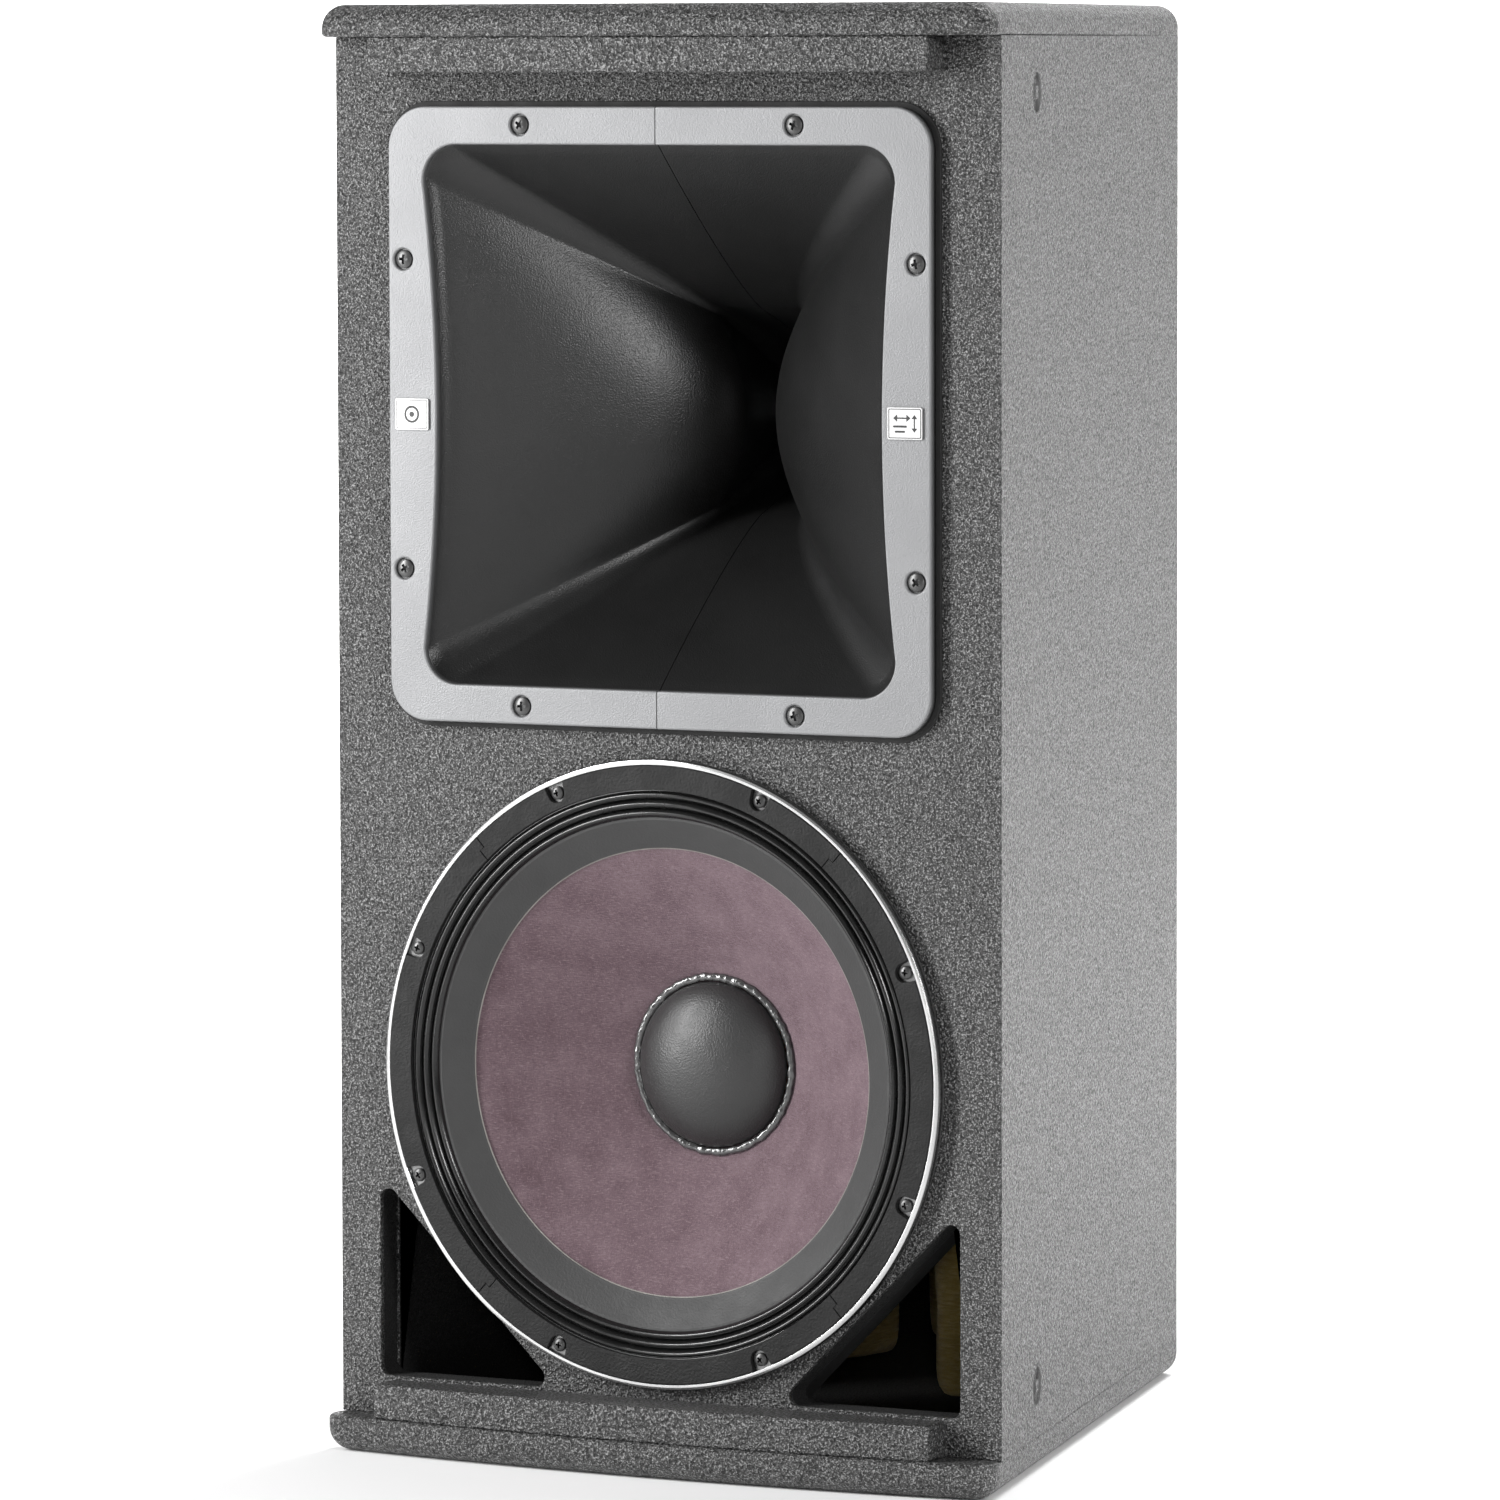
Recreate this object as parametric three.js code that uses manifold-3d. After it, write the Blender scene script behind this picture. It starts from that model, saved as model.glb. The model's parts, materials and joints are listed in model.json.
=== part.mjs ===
// Two-way PA speaker cabinet, grille off. Millimetres, +Z up, the front faces -Y.
// The pieces are laid out from the baffle's front face (y = 0) and the base (z = 0);
// the group is then moved so that the origin is the bottom centre of the bounding box.
import * as THREE from "three";
import { mergeVertices } from "three/addons/utils/BufferGeometryUtils.js";
import Module from "manifold-3d";

const wasm = await Module();
wasm.setup();

// Driving dimensions of the cabinet.
const WIDTH = 370;
const HEIGHT = 718;
const DEPTH = 430;
const TAPER = THREE.MathUtils.degToRad(15);
const BOARD = 18;
const TOP_BOARD = 16;
const LIP = 30;
const LIP_BOW = 12;
const EDGE_ROUND = 12.7;
const GAP = 0.3;

// Driving dimensions of the drivers.
const WOOFER_Z = 196;
const WOOFER_R = 155;
const WOOFER_CUT_R = 141;
const RIM_PROUD = 7.3;
const COIL_R = 38;
const HORN_Z = 516.7;
const FLANGE = 301.5;
const FLANGE_T = 6.7;
const SLOT_Y = 103;
const THROAT_Y = 190;
const THROAT_R = 19;
const HORN_WALL = 3.5;

const SLOPE = Math.tan(TAPER);
const TOP_Z = HEIGHT - TOP_BOARD;
const WALL_X = BOARD / Math.cos(TAPER);
const PLATE_T = 3;
const REAR_Y = DEPTH + GAP + PLATE_T;

const outsideX = (y) => WIDTH / 2 - SLOPE * y;
const insideX = (y) => outsideX(y) - WALL_X;

const PAINT = { color: 0x3a3a3b, roughness: 0.85, metalness: 0 };
const WOOD = { color: 0x4a3f33, roughness: 0.9, metalness: 0 };
const PLASTIC = { color: 0x202123, roughness: 0.5, metalness: 0 };
const SILVER = { color: 0xa9abae, roughness: 0.4, metalness: 0.6 };
const STEEL = { color: 0x55575a, roughness: 0.4, metalness: 0.8 };
const FERRITE = { color: 0x2b2b2d, roughness: 0.7, metalness: 0 };
const RUBBER = { color: 0x151515, roughness: 0.6, metalness: 0 };
const PAPER = { color: 0x6e555c, roughness: 0.85, metalness: 0 };
const CLOTH = { color: 0x6b5a35, roughness: 0.9, metalness: 0 };
const FIBREGLASS = { color: 0xb59a55, roughness: 1, metalness: 0 };
const COPPER = { color: 0x9a5a34, roughness: 0.4, metalness: 0.8 };
const BOARD_GREEN = { color: 0x1f4a30, roughness: 0.6, metalness: 0 };

const cabinet = new THREE.Group();

// A three.js geometry as a manifold solid, facing outwards.
function solid(geometry) {
  const plain = geometry.clone();
  plain.deleteAttribute("normal");
  plain.deleteAttribute("uv");
  const merged = mergeVertices(plain, 1e-4);
  const index = merged.index.array;
  const faces = [];
  for (let i = 0; i < index.length; i += 3) {
    const [a, b, c] = [index[i], index[i + 1], index[i + 2]];
    if (a !== b && b !== c && c !== a) faces.push(a, b, c);
  }
  const build = (list) =>
    new wasm.Manifold(
      new wasm.Mesh({
        numProp: 3,
        vertProperties: new Float32Array(merged.attributes.position.array),
        triVerts: new Uint32Array(list),
      }),
    );
  const made = build(faces);
  if (made.volume() > 0) return made;
  for (let i = 0; i < faces.length; i += 3)
    [faces[i + 1], faces[i + 2]] = [faces[i + 2], faces[i + 1]];
  return build(faces);
}

// Adds a solid to the cabinet as one named mesh.
function piece(name, body, look) {
  const mesh = body.getMesh();
  const corners = new Float32Array(mesh.numVert * 3);
  for (let i = 0; i < mesh.numVert; i++) {
    const at = i * mesh.numProp;
    corners.set(mesh.vertProperties.subarray(at, at + 3), i * 3);
  }
  const geometry = new THREE.BufferGeometry();
  geometry.setAttribute("position", new THREE.BufferAttribute(corners, 3));
  geometry.setIndex(new THREE.BufferAttribute(mesh.triVerts, 1));
  const made = new THREE.Mesh(geometry, new THREE.MeshStandardMaterial(look));
  made.name = name;
  cabinet.add(made);
}

function block(x0, x1, y0, y1, z0, z1) {
  const geometry = new THREE.BoxGeometry(x1 - x0, y1 - y0, z1 - z0);
  geometry.translate((x0 + x1) / 2, (y0 + y1) / 2, (z0 + z1) / 2);
  return solid(geometry);
}

function outline(points) {
  return new THREE.Shape(points.map(([x, y]) => new THREE.Vector2(x, y)));
}

// A plan outline (x, y) raised from z0 to z1.
function raised(points, z0, z1) {
  const geometry = new THREE.ExtrudeGeometry(outline(points), {
    depth: z1 - z0,
    bevelEnabled: false,
  });
  geometry.translate(0, 0, z0);
  return solid(geometry);
}

// A front-view outline (x, z) running back from y0 to y1.
function through(points, y0, y1) {
  const geometry = new THREE.ExtrudeGeometry(outline(points), {
    depth: y1 - y0,
    bevelEnabled: false,
  });
  geometry.rotateX(Math.PI / 2);
  geometry.translate(0, y1, 0);
  return solid(geometry);
}

// A closed profile of (radius, y) turned round a Y axis at height z.
function turned(profile, z, segments = 40, x = 0) {
  const points = profile.map(([r, y]) => new THREE.Vector2(r, y));
  const first = profile[0];
  const last = profile[profile.length - 1];
  if (first[0] > 0 || last[0] > 0) points.push(points[0].clone());
  const geometry = new THREE.LatheGeometry(points, segments);
  geometry.translate(x, 0, z);
  return solid(geometry);
}

// Points of an arc, from one angle to another in degrees.
function arc(cx, cy, r, from, to, steps) {
  const points = [];
  for (let i = 0; i <= steps; i++) {
    const a = THREE.MathUtils.degToRad(from + ((to - from) * i) / steps);
    points.push([cx + r * Math.cos(a), cy + r * Math.sin(a)]);
  }
  return points;
}

function roundedRectangle(cx, cz, width, height, r, steps = 4) {
  const [x, z] = [width / 2 - r, height / 2 - r];
  return [
    ...arc(cx + x, cz + z, r, 0, 90, steps),
    ...arc(cx - x, cz + z, r, 90, 180, steps),
    ...arc(cx - x, cz - z, r, 180, 270, steps),
    ...arc(cx + x, cz - z, r, 270, 360, steps),
  ];
}

const disc = (cx, cz, r, steps) => arc(cx, cz, r, 0, 360, steps).slice(0, -1);

// How far the bowed lip reaches in front of the baffle at x.
const bow = (x, reach) => -(reach - LIP_BOW * (x / (WIDTH / 2)) ** 2);

// Plan outline of the top and bottom boards, drawn in by inset on every side.
function boardOutline(inset) {
  const corner = 14;
  const side = new THREE.Vector2(Math.cos(TAPER), Math.sin(TAPER));
  const frontY = bow(WIDTH / 2 - corner, LIP) + corner;
  const frontX = outsideX(frontY) - corner / side.x;
  const backY = DEPTH - corner;
  const backX = outsideX(backY) - corner / side.x;
  const half = [];
  const steps = 5;
  for (let i = 0; i <= steps; i++) {
    const x = (frontX * i) / steps;
    half.push([x, bow(x, LIP) + inset]);
  }
  const r = corner - inset;
  half.push(...arc(frontX, frontY, r, -80, 15, 4));
  half.push(...arc(backX, backY, r, 15, 90, 4));
  const mirrored = half.slice(1).reverse().map(([x, y]) => [-x, y]);
  return [...half, ...mirrored];
}

// A stack of equal-count outlines joined into one closed body.
function lofted(levels) {
  const count = levels[0].length;
  const corners = levels.flat();
  const faces = [];
  for (let level = 0; level + 1 < levels.length; level++)
    for (let i = 0; i < count; i++) {
      const a = level * count + i;
      const b = level * count + ((i + 1) % count);
      faces.push(a, b, b + count, a, b + count, a + count);
    }
  const middle = (ring) => {
    const sum = new THREE.Vector3();
    ring.forEach(([x, y, z]) => sum.add(new THREE.Vector3(x, y, z)));
    return sum.divideScalar(ring.length).toArray();
  };
  const low = corners.push(middle(levels[0])) - 1;
  const high = corners.push(middle(levels[levels.length - 1])) - 1;
  const lastRing = (levels.length - 1) * count;
  for (let i = 0; i < count; i++) {
    const next = (i + 1) % count;
    faces.push(low, next, i, high, lastRing + i, lastRing + next);
  }
  const geometry = new THREE.BufferGeometry();
  const flat = new Float32Array(corners.flat());
  geometry.setAttribute("position", new THREE.BufferAttribute(flat, 3));
  geometry.setIndex(faces);
  return solid(geometry);
}

// A top or bottom board: full outline at the inner face, rounded at the outer face.
function endBoard(innerZ, outerZ) {
  const sign = Math.sign(outerZ - innerZ);
  const levels = [[innerZ, 0]];
  const steps = 4;
  for (let i = 0; i <= steps; i++) {
    const a = (Math.PI / 2) * (i / steps);
    levels.push([
      outerZ - sign * EDGE_ROUND * (1 - Math.sin(a)),
      EDGE_ROUND * (1 - Math.cos(a)),
    ]);
  }
  return lofted(levels.map(([z, inset]) => boardOutline(inset).map(([x, y]) => [x, y, z])));
}

function addEndBoards() {
  piece("top_panel", endBoard(TOP_Z, HEIGHT), PAINT);
  piece("bottom_panel", endBoard(BOARD, 0), PAINT);
}

// The countersunk M10 screws: front one third of each side, near top and bottom.
const SCREW_Y = 79.7;
const SCREW_Z = [43.5, 674.5];
const SCREW_HEAD_R = 10.2;
const SCREW_SINK = 0.2;

// The screw itself (grow 0) has its head just below the surface; the hole starts above it.
function screwShape(grow) {
  const start = grow ? -grow : SCREW_SINK;
  const profile = [
    [0, start],
    [SCREW_HEAD_R + grow, start],
    [SCREW_HEAD_R + grow, 1.5],
    [5 + grow, 6.5],
    [5 + grow, 15 + grow],
    [0, 15 + grow],
  ];
  return turned(profile, 0, 16);
}

function hexSocket() {
  return through(disc(0, 0, 3.5, 6), -1, 3.5);
}

// Turns a body that points along +Y so that it goes into a wall, and places it.
function placed(body, x, y, z, turn) {
  return body.rotate([0, 0, THREE.MathUtils.radToDeg(turn)]).translate([x, y, z]);
}

function addSides() {
  const corner = 14;
  const backY = DEPTH - corner;
  const backX = outsideX(backY) - corner / Math.cos(TAPER);
  const startY = BOARD + GAP;
  const plan = [
    [insideX(startY), startY],
    [outsideX(startY), startY],
    ...arc(backX, backY, corner, 15, 90, 4),
    [insideX(DEPTH), DEPTH],
  ];
  for (const [side, sign] of [["right", 1], ["left", -1]]) {
    const own = plan.map(([x, y]) => [sign * x, y]);
    let wall = raised(own, BOARD + GAP, TOP_Z - GAP);
    SCREW_Z.forEach((z, i) => {
      const turn = sign * (TAPER + Math.PI / 2);
      const x = sign * outsideX(SCREW_Y);
      wall = wall.subtract(placed(screwShape(GAP), x, SCREW_Y, z, turn));
      const screw = screwShape(0).subtract(hexSocket());
      const name = "suspension_screw_" + side + (i ? "_top" : "_bottom");
      piece(name, placed(screw, x, SCREW_Y, z, turn), STEEL);
    });
    piece("side_panel_" + side, wall, PAINT);
  }
}

// The room inside the boards, from the back of the baffle to the back panel.
function interior() {
  const y0 = BOARD + GAP;
  const y1 = DEPTH - BOARD - GAP;
  const plan = [
    [-(insideX(y0) - GAP), y0],
    [insideX(y0) - GAP, y0],
    [insideX(y1) - GAP, y1],
    [-(insideX(y1) - GAP), y1],
  ];
  return raised(plan, BOARD + GAP, TOP_Z - GAP);
}

// The triangular ports: right angle at the outer bottom corner, rounded corners.
const PORT_X = 162.5;
const PORT_Z = 37;
const PORT_REACH = 156;
const PORT_R = 5;

function portOutline(sign) {
  const slant = PORT_REACH * Math.SQRT2 - WOOFER_Z;
  const tipZ = PORT_X - slant;
  const tipX = PORT_Z + slant;
  const back = PORT_R / Math.tan(Math.PI / 8);
  const points = [
    ...arc(PORT_X - PORT_R, PORT_Z + PORT_R, PORT_R, -90, 0, 3),
    ...arc(PORT_X - PORT_R, tipZ - back, PORT_R, 0, 135, 4),
    ...arc(tipX + back, PORT_Z + PORT_R, PORT_R, 135, 270, 4),
  ];
  return points.map(([x, z]) => [sign * x, z]);
}

function addBaffle() {
  const plan = [
    [-outsideX(0), 0],
    [outsideX(0), 0],
    [outsideX(BOARD), BOARD],
    [-outsideX(BOARD), BOARD],
  ];
  const hornHole = roundedRectangle(0, HORN_Z, 278, 278, 20, 3);
  const baffle = raised(plan, BOARD + GAP, TOP_Z - GAP)
    .subtract(through(hornHole, -5, BOARD + 5))
    .subtract(through(disc(0, WOOFER_Z, WOOFER_CUT_R, 48), -5, BOARD + 5))
    .subtract(through(portOutline(1), -5, BOARD + 5))
    .subtract(through(portOutline(-1), -5, BOARD + 5));
  piece("front_baffle", baffle, PAINT);
}

const PORT_DEPTH = 36;
const PORT_BOARD = 12;

function addPortBoards() {
  for (const [side, sign] of [["right", 1], ["left", -1]]) {
    const outer = PORT_REACH * Math.SQRT2;
    const inner = (PORT_REACH - PORT_BOARD) * Math.SQRT2;
    const edge = (x, reach) => WOOFER_Z + x - reach;
    const far = 200;
    const slab = [
      [sign * 0, edge(0, inner)],
      [sign * 0, edge(0, outer)],
      [sign * far, edge(far, outer)],
      [sign * far, edge(far, inner)],
    ];
    const board = through(slab, BOARD + GAP, PORT_DEPTH);
    piece("port_board_" + side, board.intersect(interior()), WOOD);
  }
}

const REAR_CUT = { width: 78, height: 126, z: 300 };

function addBack() {
  const y0 = DEPTH - BOARD;
  const plan = [
    [-(insideX(y0) - GAP), y0],
    [insideX(y0) - GAP, y0],
    [insideX(DEPTH) - GAP, DEPTH],
    [-(insideX(DEPTH) - GAP), DEPTH],
  ];
  let back = raised(plan, BOARD + GAP, TOP_Z - GAP);
  const hole = roundedRectangle(0, REAR_CUT.z, REAR_CUT.width, REAR_CUT.height, 6, 2);
  back = back.subtract(through(hole, y0 - 5, DEPTH + 5));
  SCREW_Z.forEach((z, i) => {
    back = back.subtract(placed(screwShape(GAP), 0, DEPTH, z, Math.PI));
    const screw = screwShape(0).subtract(hexSocket());
    const name = "suspension_screw_back" + (i ? "_top" : "_bottom");
    piece(name, placed(screw, 0, DEPTH, z, Math.PI), STEEL);
  });
  piece("back_panel", back, PAINT);
}

// The strips that hold the grille, bowed like the lip, with one chamfered edge.
function addCleats() {
  const half = 155;
  const reach = 28;
  const height = 17.5;
  const chamfer = 2;
  const steps = 10;
  for (const [name, boardZ, sign] of [
    ["grille_cleat_top", TOP_Z - GAP, -1],
    ["grille_cleat_bottom", BOARD + GAP, 1],
  ]) {
    const ring = (inset) => {
      const points = [[half, -GAP]];
      points.push([-half, -GAP]);
      for (let i = 0; i <= steps; i++) {
        const x = -half + (2 * half * i) / steps;
        points.push([x, bow(x, reach) + inset]);
      }
      return points;
    };
    const levels = [
      [boardZ, 0],
      [boardZ + sign * (height - chamfer), 0],
      [boardZ + sign * height, chamfer],
    ];
    const body = lofted(levels.map(([z, inset]) => ring(inset).map(([x, y]) => [x, y, z])));
    piece(name, body, PAINT);
  }
}

function addShelf() {
  const shelf = block(-WIDTH, WIDTH, 0, 66, 352, 366);
  piece("brace_shelf", shelf.intersect(interior()), WOOD);
}

// Fibreglass slabs on the side walls and on the back wall, doubled up behind the ports.
function addDamping() {
  const batt = 20;
  const [y0, y1] = [122, 352];
  const doubled = 55;
  const [y2, y3] = [180, 298];
  const [floorZ, doubledTop] = [20, 105];
  const wallSlab = (sign, from, to, thick, z0, z1) => {
    const plan = [
      [sign * (insideX(from) - thick), from],
      [sign * (insideX(from) - 1), from],
      [sign * (insideX(to) - 1), to],
      [sign * (insideX(to) - thick), to],
    ];
    return raised(plan, z0, z1);
  };
  for (const [side, sign] of [["right", 1], ["left", -1]]) {
    const wall = wallSlab(sign, y0, y1, batt, floorZ, 690);
    const low = wallSlab(sign, y2, y3, doubled, floorZ, doubledTop);
    piece("damping_" + side, wall.add(low), FIBREGLASS);
  }
  const backY = DEPTH - BOARD - 1;
  const back = block(-50, 50, backY - 25, backY, floorZ, 222);
  const low = block(-33, 33, backY - 64, backY, floorZ, doubledTop);
  piece("damping_back_low", back.add(low), FIBREGLASS);
  piece("damping_back_high", block(-50, 50, backY - 25, backY, 378, 690), FIBREGLASS);
}

// One cross-section of the horn: half height b, half width a0 at mid height and
// a1 at the corners, corner radius r, grown outwards by grow.
function hornRing(y, a0, a1, b, r, grow) {
  const top = b + grow;
  const radius = r + grow;
  const wide = a1 + grow;
  const quarter = [];
  for (let i = 0; i < 3; i++) quarter.push([((wide - radius) * i) / 3, top]);
  for (let i = 0; i <= 4; i++) {
    const a = (Math.PI / 2) * (1 - i / 4);
    quarter.push([
      wide - radius + radius * Math.cos(a),
      top - radius + radius * Math.sin(a),
    ]);
  }
  const sideTop = top - radius;
  for (let i = 1; i <= 4; i++) {
    const z = sideTop * (1 - i / 4);
    const bulge = (a1 - a0) * (1 - (z / Math.max(sideTop, 1e-6)) ** 2);
    quarter.push([wide - bulge, z]);
  }
  const mirrorDown = quarter.slice(0, -1).reverse().map(([x, z]) => [x, -z]);
  const right = [...quarter, ...mirrorDown];
  const left = right.slice(1, -1).reverse().map(([x, z]) => [-x, z]);
  return [...right, ...left].map(([x, z]) => [x, y, z + HORN_Z]);
}

// Inside sizes of the horn at depth y: a flared mouth, a tall slot, a round throat.
function hornSizes(y) {
  if (y <= SLOT_Y) {
    const t = 1 - Math.max(y, 0) / SLOT_Y;
    return [
      9 + 112 * t ** 1.55,
      24 + 104 * t ** 1.4,
      50 + 79 * t ** 1.2,
      3 + 14 * t,
    ];
  }
  const t = (y - SLOT_Y) / (THROAT_Y - SLOT_Y);
  const mix = (a, b) => a + (b - a) * t;
  return [mix(9, THROAT_R), mix(24, THROAT_R), mix(50, THROAT_R), mix(3, THROAT_R - 1)];
}

function addHorn() {
  const depths = [0, 12, 27, 44, 62, 82, SLOT_Y, 130, 160, THROAT_Y];
  const inner = depths.map((y) => hornRing(y, ...hornSizes(y), 0));
  const mouth = hornRing(-FLANGE_T - GAP - 3, 124, 131.5, 133, 18, 0);
  const mouthEdge = hornRing(-FLANGE_T + 1, 123.8, 131, 132.7, 18, 0);
  const exit = hornRing(THROAT_Y + 3, ...hornSizes(THROAT_Y), 0);
  const cavity = lofted([mouth, mouthEdge, ...inner, exit]);
  const skinStart = hornRing(-2, ...hornSizes(0), HORN_WALL);
  const skin = lofted([
    skinStart,
    ...depths.slice(1, -1).map((y) => hornRing(y, ...hornSizes(y), HORN_WALL)),
    hornRing(THROAT_Y - 3, ...hornSizes(THROAT_Y), HORN_WALL + 2),
  ]);
  const flange = through(
    roundedRectangle(0, HORN_Z, FLANGE, FLANGE + 1, 20.5, 4),
    -FLANGE_T - GAP,
    -GAP,
  );
  const rearFlange = through(disc(0, HORN_Z, 46, 24), THROAT_Y - 8, THROAT_Y);
  const horn = skin.add(flange).add(rearFlange).subtract(cavity);
  const seam = 0.15;
  const right = block(seam, 400, -50, 400, 200, 800);
  const left = block(-400, -seam, -50, 400, 200, 800);
  piece("horn_right", horn.intersect(right), SILVER);
  piece("horn_left", horn.intersect(left), SILVER);
  const face = -FLANGE_T - 2 * GAP;
  for (const [side, sign] of [["left", -1], ["right", 1]]) {
    const tag = roundedRectangle(sign * 137.2, HORN_Z, 19, 15.6, 1, 1);
    piece("horn_badge_" + side, through(tag, face - 0.8, face), SILVER);
  }
}

function addCompressionDriver() {
  const y = THROAT_Y + GAP;
  const ring = (name, profile, look, segments = 28) =>
    piece(name, turned(profile, HORN_Z, segments), look);
  ring("hf_front_plate", [
    [THROAT_R + 0.5, y],
    [52, y],
    [52, y + 11],
    [30, y + 11],
    [THROAT_R + 0.5, y + 9],
  ], STEEL);
  ring("hf_magnet", [
    [31, y + 11.3],
    [57, y + 11.3],
    [57, y + 33],
    [31, y + 33],
  ], FERRITE);
  ring("hf_diaphragm", [
    [0, y + 16],
    [12, y + 17.6],
    [22, y + 22.5],
    [29, y + 23.5],
    [29, y + 24.5],
    [21.5, y + 23.6],
    [11.6, y + 18.6],
    [0, y + 17],
  ], COPPER);
  ring("hf_rear_cover", [
    [0, y + 57],
    [0, y + 60],
    [36, y + 60],
    [46, y + 52],
    [48, y + 33.3],
    [44, y + 33.3],
    [43, y + 50],
    [34, y + 57],
  ], PLASTIC);
}

// The basket: rim and gasket seat in front, funnel with six windows behind.
function addBasket() {
  const profile = [
    [139.2, -5],
    [152, -5],
    [152, -RIM_PROUD],
    [WOOFER_R, -RIM_PROUD],
    [WOOFER_R, -GAP],
    [140.6, -GAP],
    [140.6, 8],
    [100, 84],
    [100, 92],
    [62, 92],
    [62, 86],
    [97, 83],
    [139.2, 8],
  ];
  let basket = turned(profile, WOOFER_Z, 48);
  for (let i = 0; i < 6; i++) {
    const window = block(-36, 36, 18, 78, 88, 150);
    basket = basket.subtract(
      window.rotate([0, 60 * i, 0]).translate([0, 0, WOOFER_Z]),
    );
  }
  piece("woofer_basket", basket, STEEL);
  piece("woofer_gasket", turned([
    [139.6, -5.3],
    [151.7, -5.3],
    [151.7, -7.6],
    [139.6, -7.6],
  ], WOOFER_Z, 48), RUBBER);
}

// A thin wavy ring between two radii: rolls waves of height amp, thickness t.
function wavyRing(r0, r1, y0, y1, rolls, amp, t, perRoll) {
  const front = [];
  const back = [];
  const count = rolls * perRoll;
  for (let i = 0; i <= count; i++) {
    const s = i / count;
    const r = r0 + (r1 - r0) * s;
    const wave = amp * (1 - Math.cos(2 * Math.PI * rolls * s)) / 2;
    const y = y0 + (y1 - y0) * s - wave;
    front.push([r, y]);
    back.push([r, y + t]);
  }
  return [...front, ...back.reverse()];
}

function addConeAssembly() {
  const surround = wavyRing(126, 138.9, -3.2, -4.6, 3, 3, 1, 3);
  piece("woofer_surround", turned(surround, WOOFER_Z, 40), RUBBER);
  piece("woofer_cone", turned([
    [125.7, -3.2],
    [110.7, 5.6],
    [78, 28.6],
    [45.6, 50.4],
    [COIL_R + 0.8, 54.6],
    [COIL_R + 0.8, 56.4],
    [45.8, 52.3],
    [78.2, 30.4],
    [110.9, 7.4],
    [125.7, -1.4],
  ], WOOFER_Z, 40), PAPER);
  piece("woofer_dust_cap", turned([
    [0, 33],
    [18, 34.5],
    [31, 39.2],
    [38.5, 45],
    [41.3, 49.6],
    [41.5, 52.6],
    [40.3, 52.4],
    [37.4, 46],
    [30.3, 40.4],
    [17.7, 35.7],
    [0, 34.2],
  ], WOOFER_Z, 32), RUBBER);
  piece("voice_coil_former", turned([
    [COIL_R - 0.6, 55],
    [COIL_R + 0.4, 55],
    [COIL_R + 0.4, 112],
    [COIL_R - 0.6, 112],
  ], WOOFER_Z, 32), COPPER);
  const spider = wavyRing(COIL_R + 1.2, 99.5, 75, 75, 4, 3, 0.8, 2);
  piece("woofer_spider", turned(spider, WOOFER_Z, 28), CLOTH);
}

function addMotor() {
  piece("woofer_top_plate", turned([
    [COIL_R + 2.2, 92.3],
    [86, 92.3],
    [86, 102.3],
    [COIL_R + 2.2, 102.3],
  ], WOOFER_Z, 36), STEEL);
  piece("woofer_magnet", turned([
    [48, 102.6],
    [95, 102.6],
    [95, 127.6],
    [48, 127.6],
  ], WOOFER_Z, 36), FERRITE);
  piece("woofer_back_plate", turned([
    [12, 94],
    [COIL_R - 1.8, 94],
    [COIL_R - 1.8, 127.9],
    [88, 127.9],
    [88, 139.9],
    [18, 139.9],
    [12, 132],
  ], WOOFER_Z, 36), STEEL);
}

const CUP_FLOOR = 402;

// The rear input cup: a plate on the back panel with a recess into the cabinet.
function addInputPlate() {
  const { width, height, z } = REAR_CUT;
  const wall = 2.5;
  const cupWidth = width - 2 * GAP;
  const cupHeight = height - 2 * GAP;
  const plate = through(
    roundedRectangle(0, z, 94, 144, 6, 2),
    DEPTH + GAP,
    REAR_Y,
  );
  const cup = through(
    roundedRectangle(0, z, cupWidth, cupHeight, 5.7, 2),
    CUP_FLOOR - wall,
    DEPTH + GAP,
  );
  const room = through(
    roundedRectangle(0, z, cupWidth - 2 * wall, cupHeight - 2 * wall, 3, 2),
    CUP_FLOOR,
    REAR_Y + 5,
  );
  const slot = block(-9, 9, CUP_FLOOR - 10, CUP_FLOOR + 5, z - 57, z - 50);
  piece("input_plate", plate.add(cup).subtract(room).subtract(slot), PLASTIC);
  piece(
    "mode_switch_slider",
    block(-4, 4, CUP_FLOOR - 1.5, CUP_FLOOR + 5, z - 56.5, z - 50.5),
    SILVER,
  );
}

// Two round sockets, each a square flange with a deep round cup for the plug.
function addSockets() {
  const y0 = CUP_FLOOR + GAP;
  for (const [name, z] of [
    ["speaker_socket_in", REAR_CUT.z + 38],
    ["speaker_socket_link", REAR_CUT.z + 2],
  ]) {
    const flange = through(roundedRectangle(0, z, 32, 32, 3, 1), y0, y0 + 3);
    const barrel = through(disc(0, z, 14.5, 20), y0, y0 + 18);
    const cup = through(disc(0, z, 12, 20), y0 + 3, y0 + 25);
    const post = through(disc(0, z, 5, 10), y0 + 2, y0 + 15);
    piece(name, flange.add(barrel).subtract(cup).add(post), PLASTIC);
  }
}

// The screw terminal strip: a block with five low walls between its terminals.
function addTerminals() {
  const z = REAR_CUT.z - 32;
  const y0 = CUP_FLOOR + GAP;
  let strip = block(-30, 30, y0, y0 + 7, z - 10, z + 10);
  for (let i = 0; i < 5; i++) {
    const x = -29 + i * 14.5;
    strip = strip.add(block(x - 1, x + 1, y0 + 6, y0 + 14, z - 10, z + 10));
  }
  piece("terminal_strip", strip, PLASTIC);
}

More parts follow.
